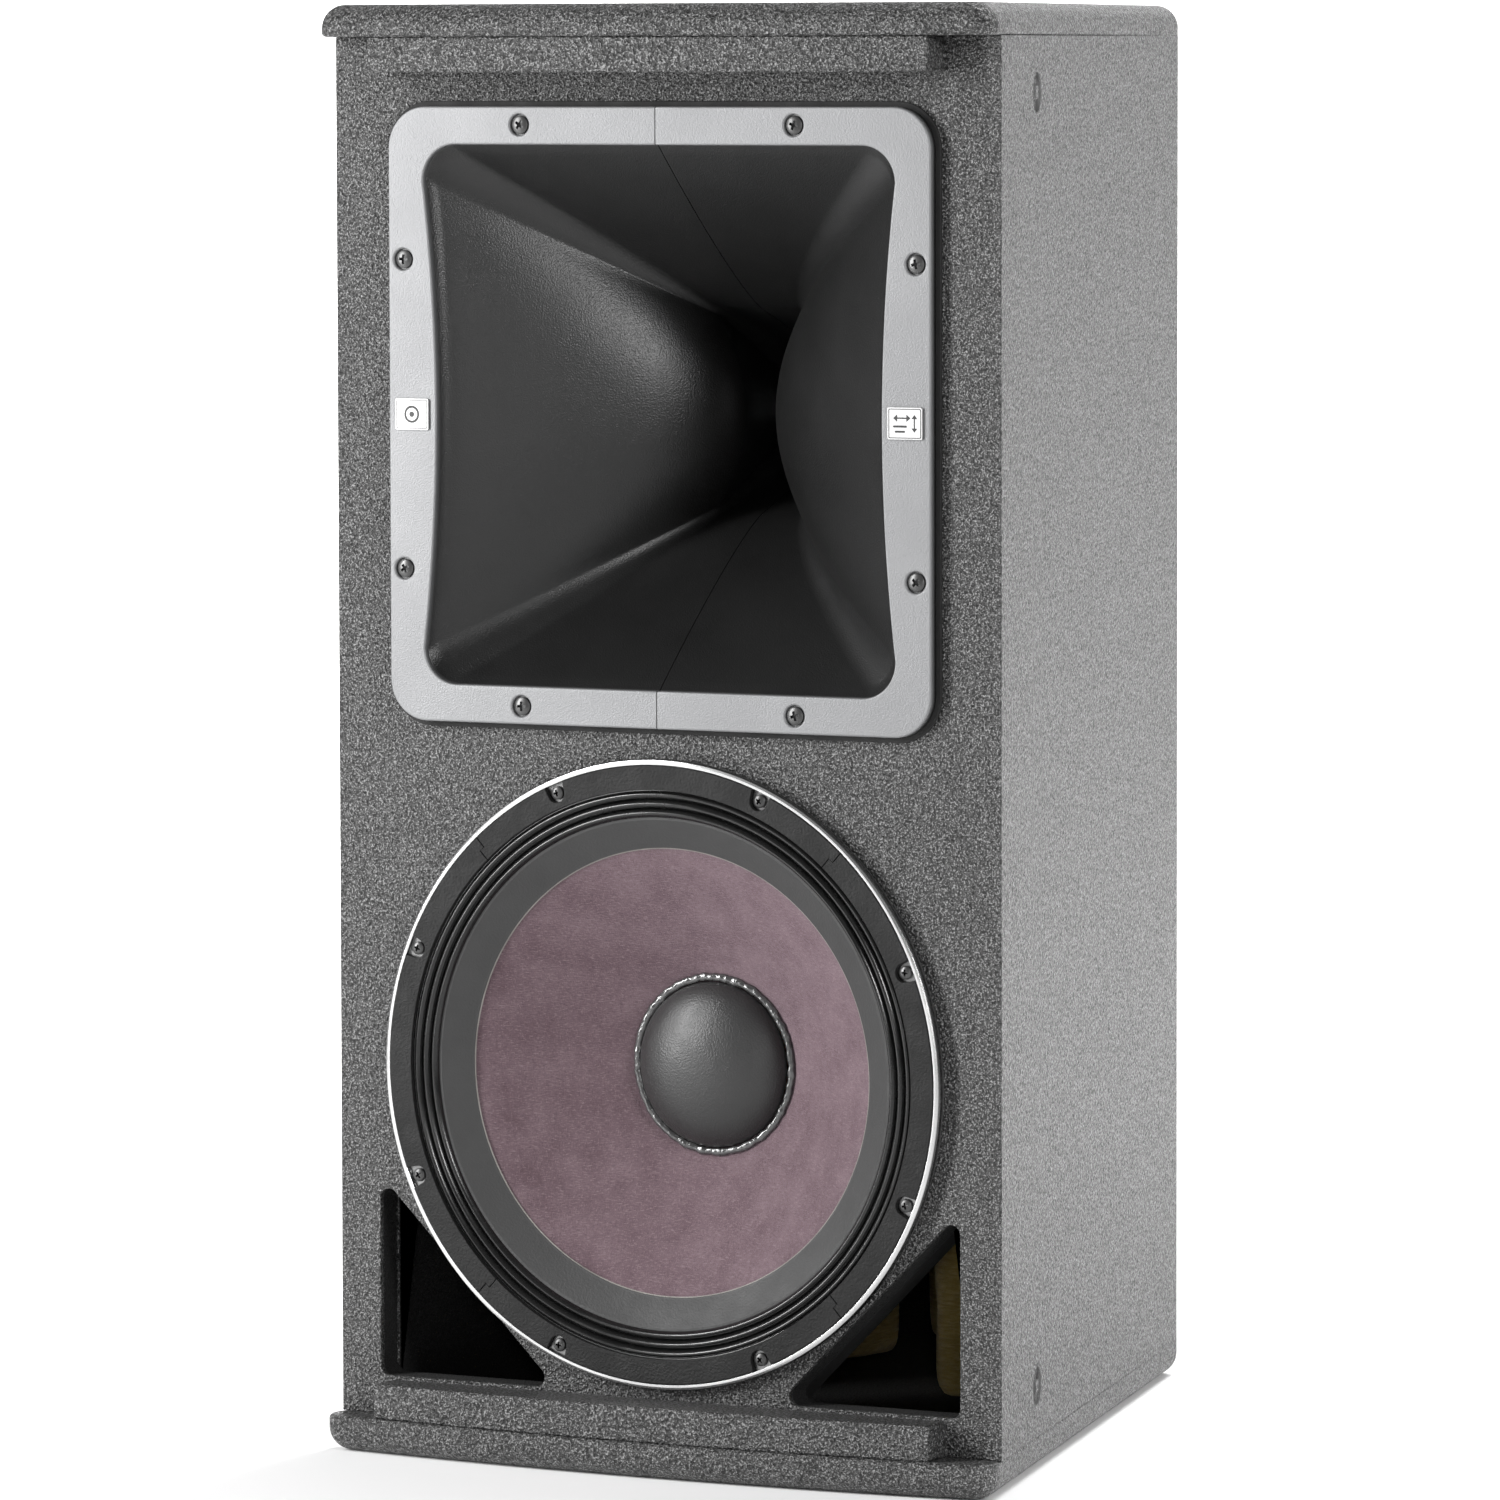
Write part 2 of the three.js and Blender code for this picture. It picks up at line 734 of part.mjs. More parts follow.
function addCrossover() {
  const z = REAR_CUT.z;
  const boardY = CUP_FLOOR - 14;
  piece("crossover_board", block(-36, 36, boardY - 2, boardY, z - 58, z + 58), BOARD_GREEN);
  const front = boardY - 2 - GAP;
  for (const [name, x, dz] of [
    ["crossover_coil_low", -14, 32],
    ["crossover_coil_high", 14, -34],
  ]) {
    const coil = turned([
      [6, front - 22],
      [18, front - 22],
      [18, front],
      [6, front],
    ], z + dz, 20, x);
    piece(name, coil, COPPER);
  }
  for (const [name, x, dz] of [
    ["crossover_capacitor_low", 20, 30],
    ["crossover_capacitor_high", -20, -30],
  ]) {
    const length = 40;
    const can = new THREE.CylinderGeometry(9, 9, length, 16);
    can.rotateX(Math.PI / 2);
    can.translate(x, front - 9.2, z + dz);
    piece(name, solid(can), PLASTIC);
  }
}

addEndBoards();
addSides();
addBaffle();
addPortBoards();
addBack();
addCleats();
addShelf();
addDamping();
addHorn();
addCompressionDriver();
addBasket();
addConeAssembly();
addMotor();
addInputPlate();
addSockets();
addTerminals();
addCrossover();

cabinet.position.y = -(REAR_Y - LIP) / 2;
const part = new THREE.Group();
part.add(cabinet);

export default part;
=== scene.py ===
import json
from math import atan, copysign, cos, degrees, hypot, pi, radians, sin, sqrt, tan

import bmesh
import bpy
from mathutils import Matrix, Vector, noise

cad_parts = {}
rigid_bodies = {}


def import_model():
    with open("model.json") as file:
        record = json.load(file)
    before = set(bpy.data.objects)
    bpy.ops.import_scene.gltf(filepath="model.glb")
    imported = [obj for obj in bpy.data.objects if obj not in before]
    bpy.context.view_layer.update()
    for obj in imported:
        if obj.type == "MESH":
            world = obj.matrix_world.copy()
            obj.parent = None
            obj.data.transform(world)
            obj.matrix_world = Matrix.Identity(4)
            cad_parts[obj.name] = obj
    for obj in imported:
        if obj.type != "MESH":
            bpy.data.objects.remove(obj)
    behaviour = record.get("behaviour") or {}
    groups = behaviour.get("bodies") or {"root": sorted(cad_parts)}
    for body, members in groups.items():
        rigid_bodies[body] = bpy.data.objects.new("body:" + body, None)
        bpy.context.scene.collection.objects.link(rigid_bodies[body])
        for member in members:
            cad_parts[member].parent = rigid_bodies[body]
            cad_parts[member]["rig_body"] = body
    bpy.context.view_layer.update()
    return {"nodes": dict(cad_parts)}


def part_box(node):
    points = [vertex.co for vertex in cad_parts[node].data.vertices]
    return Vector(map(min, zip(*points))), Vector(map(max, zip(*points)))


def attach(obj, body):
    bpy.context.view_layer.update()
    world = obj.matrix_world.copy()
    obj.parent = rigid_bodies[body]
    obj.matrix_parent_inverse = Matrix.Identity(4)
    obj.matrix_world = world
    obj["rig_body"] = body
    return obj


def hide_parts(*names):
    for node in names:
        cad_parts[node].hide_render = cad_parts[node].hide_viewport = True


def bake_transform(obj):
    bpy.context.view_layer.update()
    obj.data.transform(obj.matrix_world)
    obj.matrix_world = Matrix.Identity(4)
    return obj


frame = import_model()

scene = bpy.context.scene

MM = 0.001
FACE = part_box("front_baffle")[0].y


def middle(node, axis):
    low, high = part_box(node)
    return (low[axis] + high[axis]) / 2 / MM


def reach(node, axis):
    low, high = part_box(node)
    return (high[axis] - low[axis]) / 2 / MM


# Driving sizes of the cabinet, read from the frame where it has them.
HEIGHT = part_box("top_panel")[1].z / MM
DEPTH = (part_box("back_panel")[1].y - FACE) / MM
HALF_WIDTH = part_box("front_baffle")[1].x / MM
TAPER = radians(15)
SLOPE = tan(TAPER)
BOARD = 18
TOP_Z = HEIGHT - 16
WALL_X = BOARD / cos(TAPER)
LIP = 30
LIP_BOW = 12
CORNER = 12.3
EDGE_ROUND = 11.8
HORN_HOLE = 278
WOOFER_HOLE_R = 141
INPUT_HOLE = (78, 126)

# Driving sizes of the drivers and of the rear panel.
WOOFER_Z = middle("woofer_cone", 2)
WOOFER_R = reach("woofer_basket", 0)
HORN_Z = middle("horn_left", 2)
FLANGE_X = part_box("horn_right")[1].x / MM
FLANGE_Z = reach("horn_left", 2)
FLANGE_FACE = (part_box("horn_left")[0].y - FACE) / MM
SLOT_Y = 103
THROAT_Y = 190
SCREW_Y = 79.7
SCREW_Z = [43.5, 674.5]
REAR_Z = middle("input_plate", 2)
REAR_FLOOR = 402.3
REAR_TURN = Matrix.Rotation(pi, 4, "Z")
CONE_BODY = "woofer_cone_assembly"


def outside(y):
    """The cabinet's half width at depth y."""
    return HALF_WIDTH - SLOPE * y


def inside(y):
    return outside(y) - WALL_X


# ---- materials


def add(tree, kind, inputs, **settings):
    """Adds a node; an input is linked if its value is another node's output."""
    node = tree.nodes.new(kind)
    for key, value in settings.items():
        setattr(node, key, value)
    for key, value in inputs.items():
        if isinstance(value, bpy.types.NodeSocket):
            tree.links.new(value, node.inputs[key])
        else:
            node.inputs[key].default_value = value
    return node


def new_material(name, **sockets):
    """A material, its Principled shader and the object-space place."""
    made = bpy.data.materials.new(name)
    made.use_nodes = True
    tree = made.node_tree
    shader = tree.nodes["Principled BSDF"]
    for key, value in sockets.items():
        shader.inputs[key.replace("_", " ")].default_value = value
    place = add(tree, "ShaderNodeTexCoord", {}).outputs["Object"]
    return made, shader, place


def grain(place, scale, detail=2.0, rough=0.5):
    """Noise from 0 to 1, with scale blobs to the metre."""
    inputs = {"Vector": place, "Scale": scale, "Detail": detail, "Roughness": rough}
    return add(place.id_data, "ShaderNodeTexNoise", inputs).outputs["Fac"]


def remap(value, low, high, to_low, to_high):
    inputs = {"Value": value, "From Min": low, "From Max": high, "To Min": to_low, "To Max": to_high}
    return add(value.id_data, "ShaderNodeMapRange", inputs).outputs["Result"]


def mix(factor, a, b):
    inputs = {0: factor, 6: a, 7: b}
    return add(factor.id_data, "ShaderNodeMix", inputs, data_type="RGBA").outputs[2]


def compute(operation, a, b=0.0, c=0.0):
    inputs = {0: a, 1: b, 2: c}
    return add(a.id_data, "ShaderNodeMath", inputs, operation=operation).outputs[0]


def position(place, axis):
    return add(place.id_data, "ShaderNodeSeparateXYZ", {"Vector": place}).outputs[axis]


def stretched(place, scale, turn=(0, 0, 0)):
    """The place scaled along each axis and turned: noise on it makes fibres or brushing."""
    inputs = {"Vector": place, "Scale": scale, "Rotation": turn}
    return add(place.id_data, "ShaderNodeMapping", inputs).outputs[0]


def bump(height, depth, normal=None):
    inputs = {"Height": height, "Distance": depth}
    if normal:
        inputs["Normal"] = normal
    return add(height.id_data, "ShaderNodeBump", inputs).outputs["Normal"]


def feed(shader, **outputs):
    for key, value in outputs.items():
        shader.id_data.links.new(value, shader.inputs[key.replace("_", " ")])


def grey(value, warm=0.0):
    return (value * (1 + warm), value, value * (1 - warm), 1)


def inside_shade_mask(place):
    """One on the inside faces of the walls and on the cut edges of the ports, where the coat is
    painted near black as painted shade.
    """
    height = position(place, "Z")
    depth = compute("SUBTRACT", position(place, "Y"), FACE)
    wall = compute("MULTIPLY_ADD", depth, -SLOPE, (inside(0) + 0.5) * MM)
    to_wall = compute("SUBTRACT", wall, compute("ABSOLUTE", position(place, "X")))
    past_wall = remap(to_wall, 0.0, 0.2 * MM, 0, 1)
    past_front = remap(depth, 1.5 * MM, 4 * MM, 0, 1)
    past_back = remap(depth, (DEPTH - 10) * MM, (DEPTH - 8) * MM, 1, 0)
    above_floor = remap(height, (BOARD - 1) * MM, (BOARD - 0.5) * MM, 0, 1)
    below_top = remap(height, (TOP_Z + 0.5) * MM, (TOP_Z + 1) * MM, 1, 0)
    mask = compute("MULTIPLY", past_wall, past_front)
    for part in (past_back, above_floor, below_top):
        mask = compute("MULTIPLY", mask, part)
    return mask


def coat_material():
    """Sprayed textured coating: rounded grains one or two millimetres across, with painted glints
    for the fine sparkle and painted shade in the low spots of the grain.
    """
    made, shader, place = new_material("sprayed_coat", Specular_IOR_Level=0.5)
    peel = grain(place, 620, 1.5)
    fine = grain(place, 1100, 1.0)
    # painted highlight: the brightest fine grains are painted pale grey as glints
    painted_glints = remap(fine, 0.50, 0.66, 0, 1)
    # painted shade: the low spots of the grain, the bump's hollows, are painted near black
    painted_pit_shade = remap(peel, 0.50, 0.36, 0, 1)
    clouds = grain(place, 9, 3)
    base = mix(clouds, grey(0.031, 0.01), grey(0.040, 0.01))
    colour = mix(painted_glints, base, grey(0.26))
    colour = mix(painted_pit_shade, colour, grey(0.008))
    rough = remap(peel, 0.3, 0.7, 0.55, 0.28)
    inside_shade = inside_shade_mask(place)
    # painted shade: near black on the inside faces and the ports' cut edges
    colour = mix(inside_shade, colour, grey(0.004))
    rough = compute("MAXIMUM", rough, inside_shade)
    normal = bump(peel, 0.0022)
    normal = bump(fine, 0.0008, normal)
    feed(shader, Base_Color=colour, Roughness=rough, Normal=normal)
    return made


def horn_material():
    """Black satin moulding whose flange face is sprayed silver, fading over the mouth's edge."""
    made, shader, place = new_material("horn_moulding", Specular_IOR_Level=0.5)
    depth = position(place, "Y")
    paint_end = FACE + (FLANGE_FACE + 3.8) * MM
    paint_full = FACE + (FLANGE_FACE + 0.5) * MM
    paint = remap(depth, paint_full, paint_end, 1, 0)
    clouds = grain(place, 16, 3)
    silver = mix(clouds, (0.182, 0.184, 0.188, 1), (0.232, 0.234, 0.239, 1))
    black = mix(grain(place, 30, 2), grey(0.0055), grey(0.009))
    colour = mix(paint, black, silver)
    from_seam = compute("ABSOLUTE", position(place, "X"))
    seam = remap(from_seam, 0.15 * MM, 0.45 * MM, 1, 0)
    colour = mix(seam, colour, grey(0.004))
    satin = remap(grain(place, 25, 3), 0.3, 0.7, 0.31, 0.37)
    rough = compute("MULTIPLY_ADD", paint, 0.14, satin)
    metallic = compute("MULTIPLY", paint, 0.25)
    normal = bump(grain(place, 1300, 1), 0.00016)
    normal = bump(grain(place, 35, 1), 0.0001, normal)
    feed(shader, Base_Color=colour, Roughness=rough, Metallic=metallic, Normal=normal)
    return made


def plain_material(name, dark, light, rough, scale, depth, **sockets):
    """Two close colours mixed by soft clouds, with a fine grain raised on them."""
    made, shader, place = new_material(name, **sockets)
    colour = mix(grain(place, scale / 25, 3), dark, light)
    spread = remap(grain(place, scale / 12, 2), 0.3, 0.7, rough - 0.06, rough + 0.06)
    normal = bump(grain(place, scale, 2), depth)
    feed(shader, Base_Color=colour, Roughness=spread, Normal=normal)
    return made


def spider_material():
    """Resin-treated cloth: fine rings about the woofer's axis, over a soft grain."""
    made, shader, place = new_material("spider_cloth")
    centred = {0: place, 1: (0, 0, -WOOFER_Z * MM)}
    tree = place.id_data
    local = add(tree, "ShaderNodeVectorMath", centred, operation="ADD").outputs[0]
    across = {0: local, 1: (1, 0, 1)}
    flat = add(tree, "ShaderNodeVectorMath", across, operation="MULTIPLY").outputs[0]
    radius = add(tree, "ShaderNodeVectorMath", {0: flat}, operation="LENGTH").outputs["Value"]
    wave = compute("SINE", compute("MULTIPLY", radius, 7000))
    soft = grain(place, 700, 2)
    height = compute("MULTIPLY_ADD", wave, 0.3, soft)
    colour = mix(grain(place, 40, 3), (0.3, 0.2, 0.08, 1), (0.42, 0.29, 0.13, 1))
    rough = remap(soft, 0.3, 0.7, 0.75, 0.87)
    feed(shader, Base_Color=colour, Roughness=rough, Normal=bump(height, 0.0002))
    return made


def rim_material():
    """The woofer frame: dark casting and a turned metal rim, whose front face is painted lighter
    than its side wall as a painted highlight.
    """
    made, shader, place = new_material("woofer_casting", Specular_IOR_Level=0.5)
    depth = position(place, "Y")
    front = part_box("woofer_basket")[0].y
    # painted highlight: one on the rim's flat front face
    front_face_highlight = remap(depth, front + 0.3 * MM, front + 0.6 * MM, 1, 0)
    machined = remap(depth, FACE - 2.8 * MM, FACE - 2.4 * MM, 1, 0)
    clouds = grain(place, 25, 2)
    cast = mix(grain(place, 60, 3), grey(0.035), grey(0.07))
    # painted shade and highlight: the same turned metal gets a darker grey on the side wall and a
    # light grey on the front face
    wall = mix(clouds, grey(0.16), grey(0.26))
    edge = mix(clouds, grey(0.5), grey(0.74))
    colour = mix(machined, cast, mix(front_face_highlight, wall, edge))
    rough = remap(machined, 0, 1, 0.5, 0.27)
    cast_depth = remap(machined, 0, 1, 1.0, 0.12)
    height = compute("MULTIPLY", grain(place, 1400, 2), cast_depth)
    feed(
        shader, Base_Color=colour, Roughness=rough, Metallic=machined,
        Normal=bump(height, 0.00008),
    )
    return made


def paper_material():
    """Pressed cone paper: mauve pulp with pale and dark fibres, matted clouds and fuzz."""
    made, shader, place = new_material(
        "cone_paper", Sheen_Weight=0.25, Sheen_Roughness=0.6, Sheen_Tint=(0.85, 0.7, 0.78, 1),
        Specular_IOR_Level=0.25, Roughness=0.85,
    )
    clouds = grain(place, 55, 6, 0.62)
    matted = remap(clouds, 0.3, 0.7, 0, 1)
    pulp = mix(matted, (0.088, 0.053, 0.063, 1), (0.150, 0.102, 0.116, 1))
    fibres = grain(stretched(place, (1, 1, 4.5), (0.3, 0.5, 0.9)), 420, 3, 0.65)
    hairs = grain(stretched(place, (3.6, 1, 1), (0.1, 0.4, 0)), 560, 3, 0.7)
    colour = mix(remap(fibres, 0.54, 0.72, 0, 0.7), pulp, (0.25, 0.19, 0.205, 1))
    colour = mix(remap(hairs, 0.58, 0.74, 0, 0.6), colour, (0.27, 0.20, 0.215, 1))
    colour = mix(remap(fibres, 0.44, 0.28, 0, 0.6), colour, (0.045, 0.027, 0.033, 1))
    colour = mix(remap(hairs, 0.42, 0.28, 0, 0.5), colour, (0.05, 0.03, 0.037, 1))
    normal = bump(fibres, 0.0005)
    normal = bump(hairs, 0.0004, normal)
    normal = bump(grain(place, 110, 3), 0.0005, normal)
    feed(shader, Base_Color=colour, Normal=normal)
    return made


def wool_material():
    """Yellow glass wool: long tangled fibres, the raised strands painted paler as a painted
    highlight, so that the hollows between them read darker as painted shade.
    """
    made, shader, place = new_material("glass_wool", Sheen_Weight=0.4, Roughness=0.95)
    fibres = grain(stretched(place, (1, 1, 5), (0.5, 0.2, 0)), 160, 6, 0.7)
    clouds = grain(place, 20, 3)
    base = mix(clouds, (0.36, 0.23, 0.04, 1), (0.72, 0.52, 0.13, 1))
    # painted highlight: the raised fibres of the bump are painted pale
    colour = mix(remap(fibres, 0.45, 0.7, 0, 0.7), base, (0.82, 0.67, 0.28, 1))
    feed(shader, Base_Color=colour, Normal=bump(fibres, 0.002))
    return made


def bare_board_material():
    """Bare board: stretched grain along z, with fine pores."""
    made, shader, place = new_material("bare_board", Roughness=0.8, Specular_IOR_Level=0.3)
    lines = grain(stretched(place, (1, 1, 0.08)), 260, 5, 0.6)
    early = remap(lines, 0.35, 0.65, 0, 1)
    colour = mix(early, (0.05, 0.03, 0.018, 1), (0.11, 0.07, 0.04, 1))
    feed(shader, Base_Color=colour, Normal=bump(lines, 0.0003))
    return made


def wound_material():
    """Enamelled copper wire: fine turns across the winding."""
    made, shader, place = new_material("copper_wire", Metallic=1.0, Roughness=0.32)
    depth = position(place, "Y")
    wire_pitch = 0.0011
    wave = compute("SINE", compute("MULTIPLY", depth, 2 * pi / wire_pitch))
    colour = mix(grain(place, 80, 2), (0.42, 0.14, 0.05, 1), (0.66, 0.26, 0.1, 1))
    feed(shader, Base_Color=colour, Normal=bump(wave, 0.0002))
    return made


def badge_material():
    """Brushed plate: short fine scratches along x."""
    made, shader, place = new_material("brushed_plate", Metallic=1.0)
    lines = grain(stretched(place, (0.05, 1, 1)), 6000, 2)
    colour = mix(lines, grey(0.40), grey(0.52))
    rough = remap(lines, 0.3, 0.7, 0.42, 0.55)
    feed(shader, Base_Color=colour, Roughness=rough, Normal=bump(lines, 0.00001))
    return made


COAT = coat_material()
HORN = horn_material()
CASTING = rim_material()
PAPER = paper_material()
WOOL = wool_material()
BADGE = badge_material()
WIRE = wound_material()
BARE_BOARD = bare_board_material()
SPIDER_CLOTH = spider_material()
PORT_PAINT = plain_material("port_paint", grey(0.005), grey(0.010), 0.8, 700, 0.0003)
FOAM = plain_material("black_foam", grey(0.008), grey(0.014), 0.8, 1500, 0.0002)
GASKET = plain_material(
    "gasket_board", grey(0.003), grey(0.009), 0.66, 900, 0.0006, Specular_IOR_Level=0.35,
)
ROLLS = plain_material("surround_coat", grey(0.005), grey(0.009), 0.24, 900, 0.00003)
BAND = plain_material("cone_edge_band", grey(0.025), grey(0.033), 0.58, 900, 0.0002)
DOME = plain_material("dust_cap_cloth", grey(0.023), grey(0.029), 0.40, 1100, 0.00022)
GLUE = plain_material("glue_bead", grey(0.012), grey(0.09), 0.12, 500, 0.0006, Coat_Weight=1.0)
DRIED_GLUE = plain_material("dried_glue", grey(0.07, 0.1), grey(0.30, 0.06), 0.4, 1400, 0.0004)
BLACK_SCREW = plain_material(
    "blackened_steel", grey(0.05), grey(0.11), 0.36, 1200, 0.00003, Metallic=0.7,
)
PLUG_GREY = plain_material("painted_steel", grey(0.06), grey(0.085), 0.5, 1100, 0.00006)
ZINC = plain_material("zinc_steel", grey(0.42), grey(0.6), 0.35, 500, 0.00003, Metallic=1.0)
BRASS = plain_material(
    "contact_brass", (0.6, 0.42, 0.16, 1), (0.75, 0.55, 0.25, 1), 0.3, 500, 0.00002, Metallic=1.0,
)
FERRITE = plain_material("ferrite", grey(0.03), grey(0.05), 0.6, 700, 0.00012)
PLASTIC = plain_material("moulded_plastic", grey(0.014), grey(0.02), 0.45, 1600, 0.00006)
INK = plain_material("black_ink", grey(0.012), grey(0.02), 0.5, 1500, 0.00002)
LACQUER = plain_material(
    "green_lacquer", (0.01, 0.07, 0.03, 1), (0.02, 0.11, 0.05, 1), 0.35, 300, 0.00005,
)


# ---- mesh helpers


def linked(name, data):
    """A new object that is in the scene."""
    obj = bpy.data.objects.new(name, data)
    scene.collection.objects.link(obj)
    return obj


def finished(name, mesh, material, nodes=(), body="cabinet", sharp=35):
    """Makes mesh a shaded piece that rides on body and stands for the CAD nodes."""
    shell = bmesh.new()
    shell.from_mesh(mesh)
    bmesh.ops.recalc_face_normals(shell, faces=shell.faces)
    shell.to_mesh(mesh)
    shell.free()
    if name in frame["nodes"]:
        name += "_detail"
    mesh.name = name
    mesh.shade_smooth()
    mesh.set_sharp_from_angle(angle=radians(sharp))
    mesh.materials.clear()
    mesh.materials.append(material)
    obj = linked(name, mesh)
    weighted = obj.modifiers.new("weighted_normals", "WEIGHTED_NORMAL")
    weighted.keep_sharp = True
    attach(obj, body)
    if nodes:
        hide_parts(*nodes)
    return obj


def coated(name, mesh):
    """A board of the cabinet, sprayed all over."""
    finished(name, mesh, COAT, [name])


def mesh_of(points, faces):
    """A mesh from points in millimetres, laid out from the baffle's face."""
    mesh = bpy.data.meshes.new("mesh")
    mesh.from_pydata([(x * MM, y * MM + FACE, z * MM) for x, y, z in points], [], faces)
    return mesh


def joined(meshes):
    """One mesh that holds all of these."""
    shell = bmesh.new()
    for mesh in meshes:
        shell.from_mesh(mesh)
        bpy.data.meshes.remove(mesh)
    made = bpy.data.meshes.new("joined")
    shell.to_mesh(made)
    shell.free()
    return made


def evaluated(obj):
    """The mesh of an object with its modifiers applied; the object is removed."""
    bpy.context.view_layer.update()
    graph = bpy.context.evaluated_depsgraph_get()
    mesh = bpy.data.meshes.new_from_object(obj.evaluated_get(graph))
    bpy.data.objects.remove(obj)
    return mesh


def carved(mesh, cutter):
    """The mesh less the cutter."""
    body = linked("body", mesh)
    tool = linked("tool", cutter)
    cut = body.modifiers.new("cut", "BOOLEAN")
    cut.object = tool
    cut.operation = "DIFFERENCE"
    cut.solver = "EXACT"
    made = evaluated(body)
    bpy.data.objects.remove(tool)
    return made


def softened(points, radius, steps=4, closed=True):
    """A line of 2-D points whose corners are rounded."""
    count = len(points)
    made = []
    for i, point in enumerate(points):
        if not closed and i in (0, count - 1):
            made.append(point)
            continue
        here = Vector(point)
        back = Vector(points[i - 1]) - here
        ahead = Vector(points[(i + 1) % count]) - here
        angle = back.angle(ahead)
        if angle > radians(176):
            made.append(point)
            continue
        run = min(radius / tan(angle / 2), 0.48 * back.length, 0.48 * ahead.length)
        start = here + back.normalized() * run
        end = here + ahead.normalized() * run
        for k in range(steps + 1):
            t = k / steps
            made.append(tuple((1 - t) ** 2 * start + 2 * t * (1 - t) * here + t ** 2 * end))
    return made


def arc(cx, cy, r, start, end, steps):
    """Points of an arc between two angles in degrees."""
    points = []
    for i in range(steps + 1):
        a = radians(start + (end - start) * i / steps)
        points.append((cx + r * cos(a), cy + r * sin(a)))
    return points


def circle(cx, cy, r, steps=96):
    return arc(cx, cy, r, 0, 360, steps)[:-1]


def polar(r, angle, z):
    """The (x, z) at a radius and an angle in degrees about x = 0 and the height z."""
    a = radians(angle)
    return (r * cos(a), z + r * sin(a))


def rectangle(cx, cz, width, height, r, steps=10):
    x, z = width / 2 - r, height / 2 - r
    return [
        *arc(cx + x, cz + z, r, 0, 90, steps),
        *arc(cx - x, cz + z, r, 90, 180, steps),
        *arc(cx - x, cz - z, r, 180, 270, steps),
        *arc(cx + x, cz - z, r, 270, 360, steps),
    ]


def slab(outlines, low, high, bevel=0.0, flat=False):
    """Outlines with holes given thickness and rounded edges: (x, z) outlines from y low to
    high, or when flat (x, y) outlines from z low to high."""
    curve = bpy.data.curves.new("slab", "CURVE")
    curve.dimensions = "2D"
    curve.fill_mode = "BOTH"
    curve.extrude = (high - low) / 2 - bevel
    curve.bevel_depth = bevel
    curve.bevel_resolution = 3
    curve.offset = -bevel
    for outline in outlines:
        spline = curve.splines.new("POLY")
        spline.points.add(len(outline) - 1)
        for point, (a, b) in zip(spline.points, outline):
            point.co = (a, b, 0, 1)
        spline.use_cyclic_u = True
    mesh = evaluated(linked("slab", curve))
    bpy.data.curves.remove(curve)
    shell = bmesh.new()
    shell.from_mesh(mesh)
    bmesh.ops.remove_doubles(shell, verts=shell.verts, dist=0.001)
    half = (low + high) / 2
    for vert in shell.verts:
        x, y, z = vert.co
        place = (x, y, half + z) if flat else (x, half - z, y)
        vert.co = (place[0] * MM, place[1] * MM + FACE, place[2] * MM)
    shell.to_mesh(mesh)
    shell.free()
    return mesh


def turned(profile, x, z, segments=160):
    """A profile of (radius, y) turned round the y axis through x, z. It starts and ends on
    the axis, or closes on itself."""
    closed = profile[0][0] > 1e-6
    points = []
    rings = []
    for r, y in profile:
        if r < 1e-6:
            rings.append([len(points)] * segments)
            points.append((x, y, z))
            continue
        rings.append(list(range(len(points), len(points) + segments)))
        for i in range(segments):
            a = 2 * pi * i / segments
            points.append((x + r * cos(a), y, z + r * sin(a)))
    pairs = list(zip(rings, rings[1:]))
    if closed:
        pairs.append((rings[-1], rings[0]))
    faces = []
    for one, other in pairs:
        for i in range(segments):
            k = (i + 1) % segments
            corners = [one[i], one[k], other[k], other[i]]
            faces.append(list(dict.fromkeys(corners)))
    return mesh_of(points, [f for f in faces if len(f) > 2])


def lofted(rings):
    """Closed rings of equal count joined in order, with flat ends."""
    count = len(rings[0])
    points = [point for ring in rings for point in ring]
    faces = [list(range(count)), list(range(len(points) - count, len(points)))]
    for level in range(len(rings) - 1):
        for i in range(count):
            a = level * count + i
            b = level * count + (i + 1) % count
            faces.append([a, b, b + count, a + count])
    return mesh_of(points, faces)


def wrapped(rings):
    """Open rings of equal count joined in order and round to the first, with flat sides."""
    count = len(rings[0])
    levels = len(rings)
    points = [point for ring in rings for point in ring]
    faces = []
    for level in range(levels):
        ahead = (level + 1) % levels
        for i in range(count - 1):
            a = level * count + i
            b = ahead * count + i
            faces.append([a, a + 1, b + 1, b])
    for side in (0, count - 1):
        faces.append([level * count + side for level in range(levels)])
    return mesh_of(points, faces)


def moved(mesh, turn=Matrix(), x=0.0, y=0.0, z=0.0):
    """A copy of a mesh made round the frame's origin, turned and then set down at x, y, z."""
    copy = mesh.copy()
    copy.transform(Matrix.Translation((0, -FACE, 0)))
    copy.transform(turn)
    copy.transform(Matrix.Translation((x * MM, y * MM + FACE, z * MM)))
    return copy


# ---- cabinet


def bow(x, lip):
    """The bowed front of the lips and cleats: its y at x."""
    return -(lip - LIP_BOW * (x / HALF_WIDTH) ** 2)


def rear_corner():
    """The centre of the rounded corner between a side and the back."""
    y = DEPTH - CORNER
    return outside(y) - CORNER / cos(TAPER), y


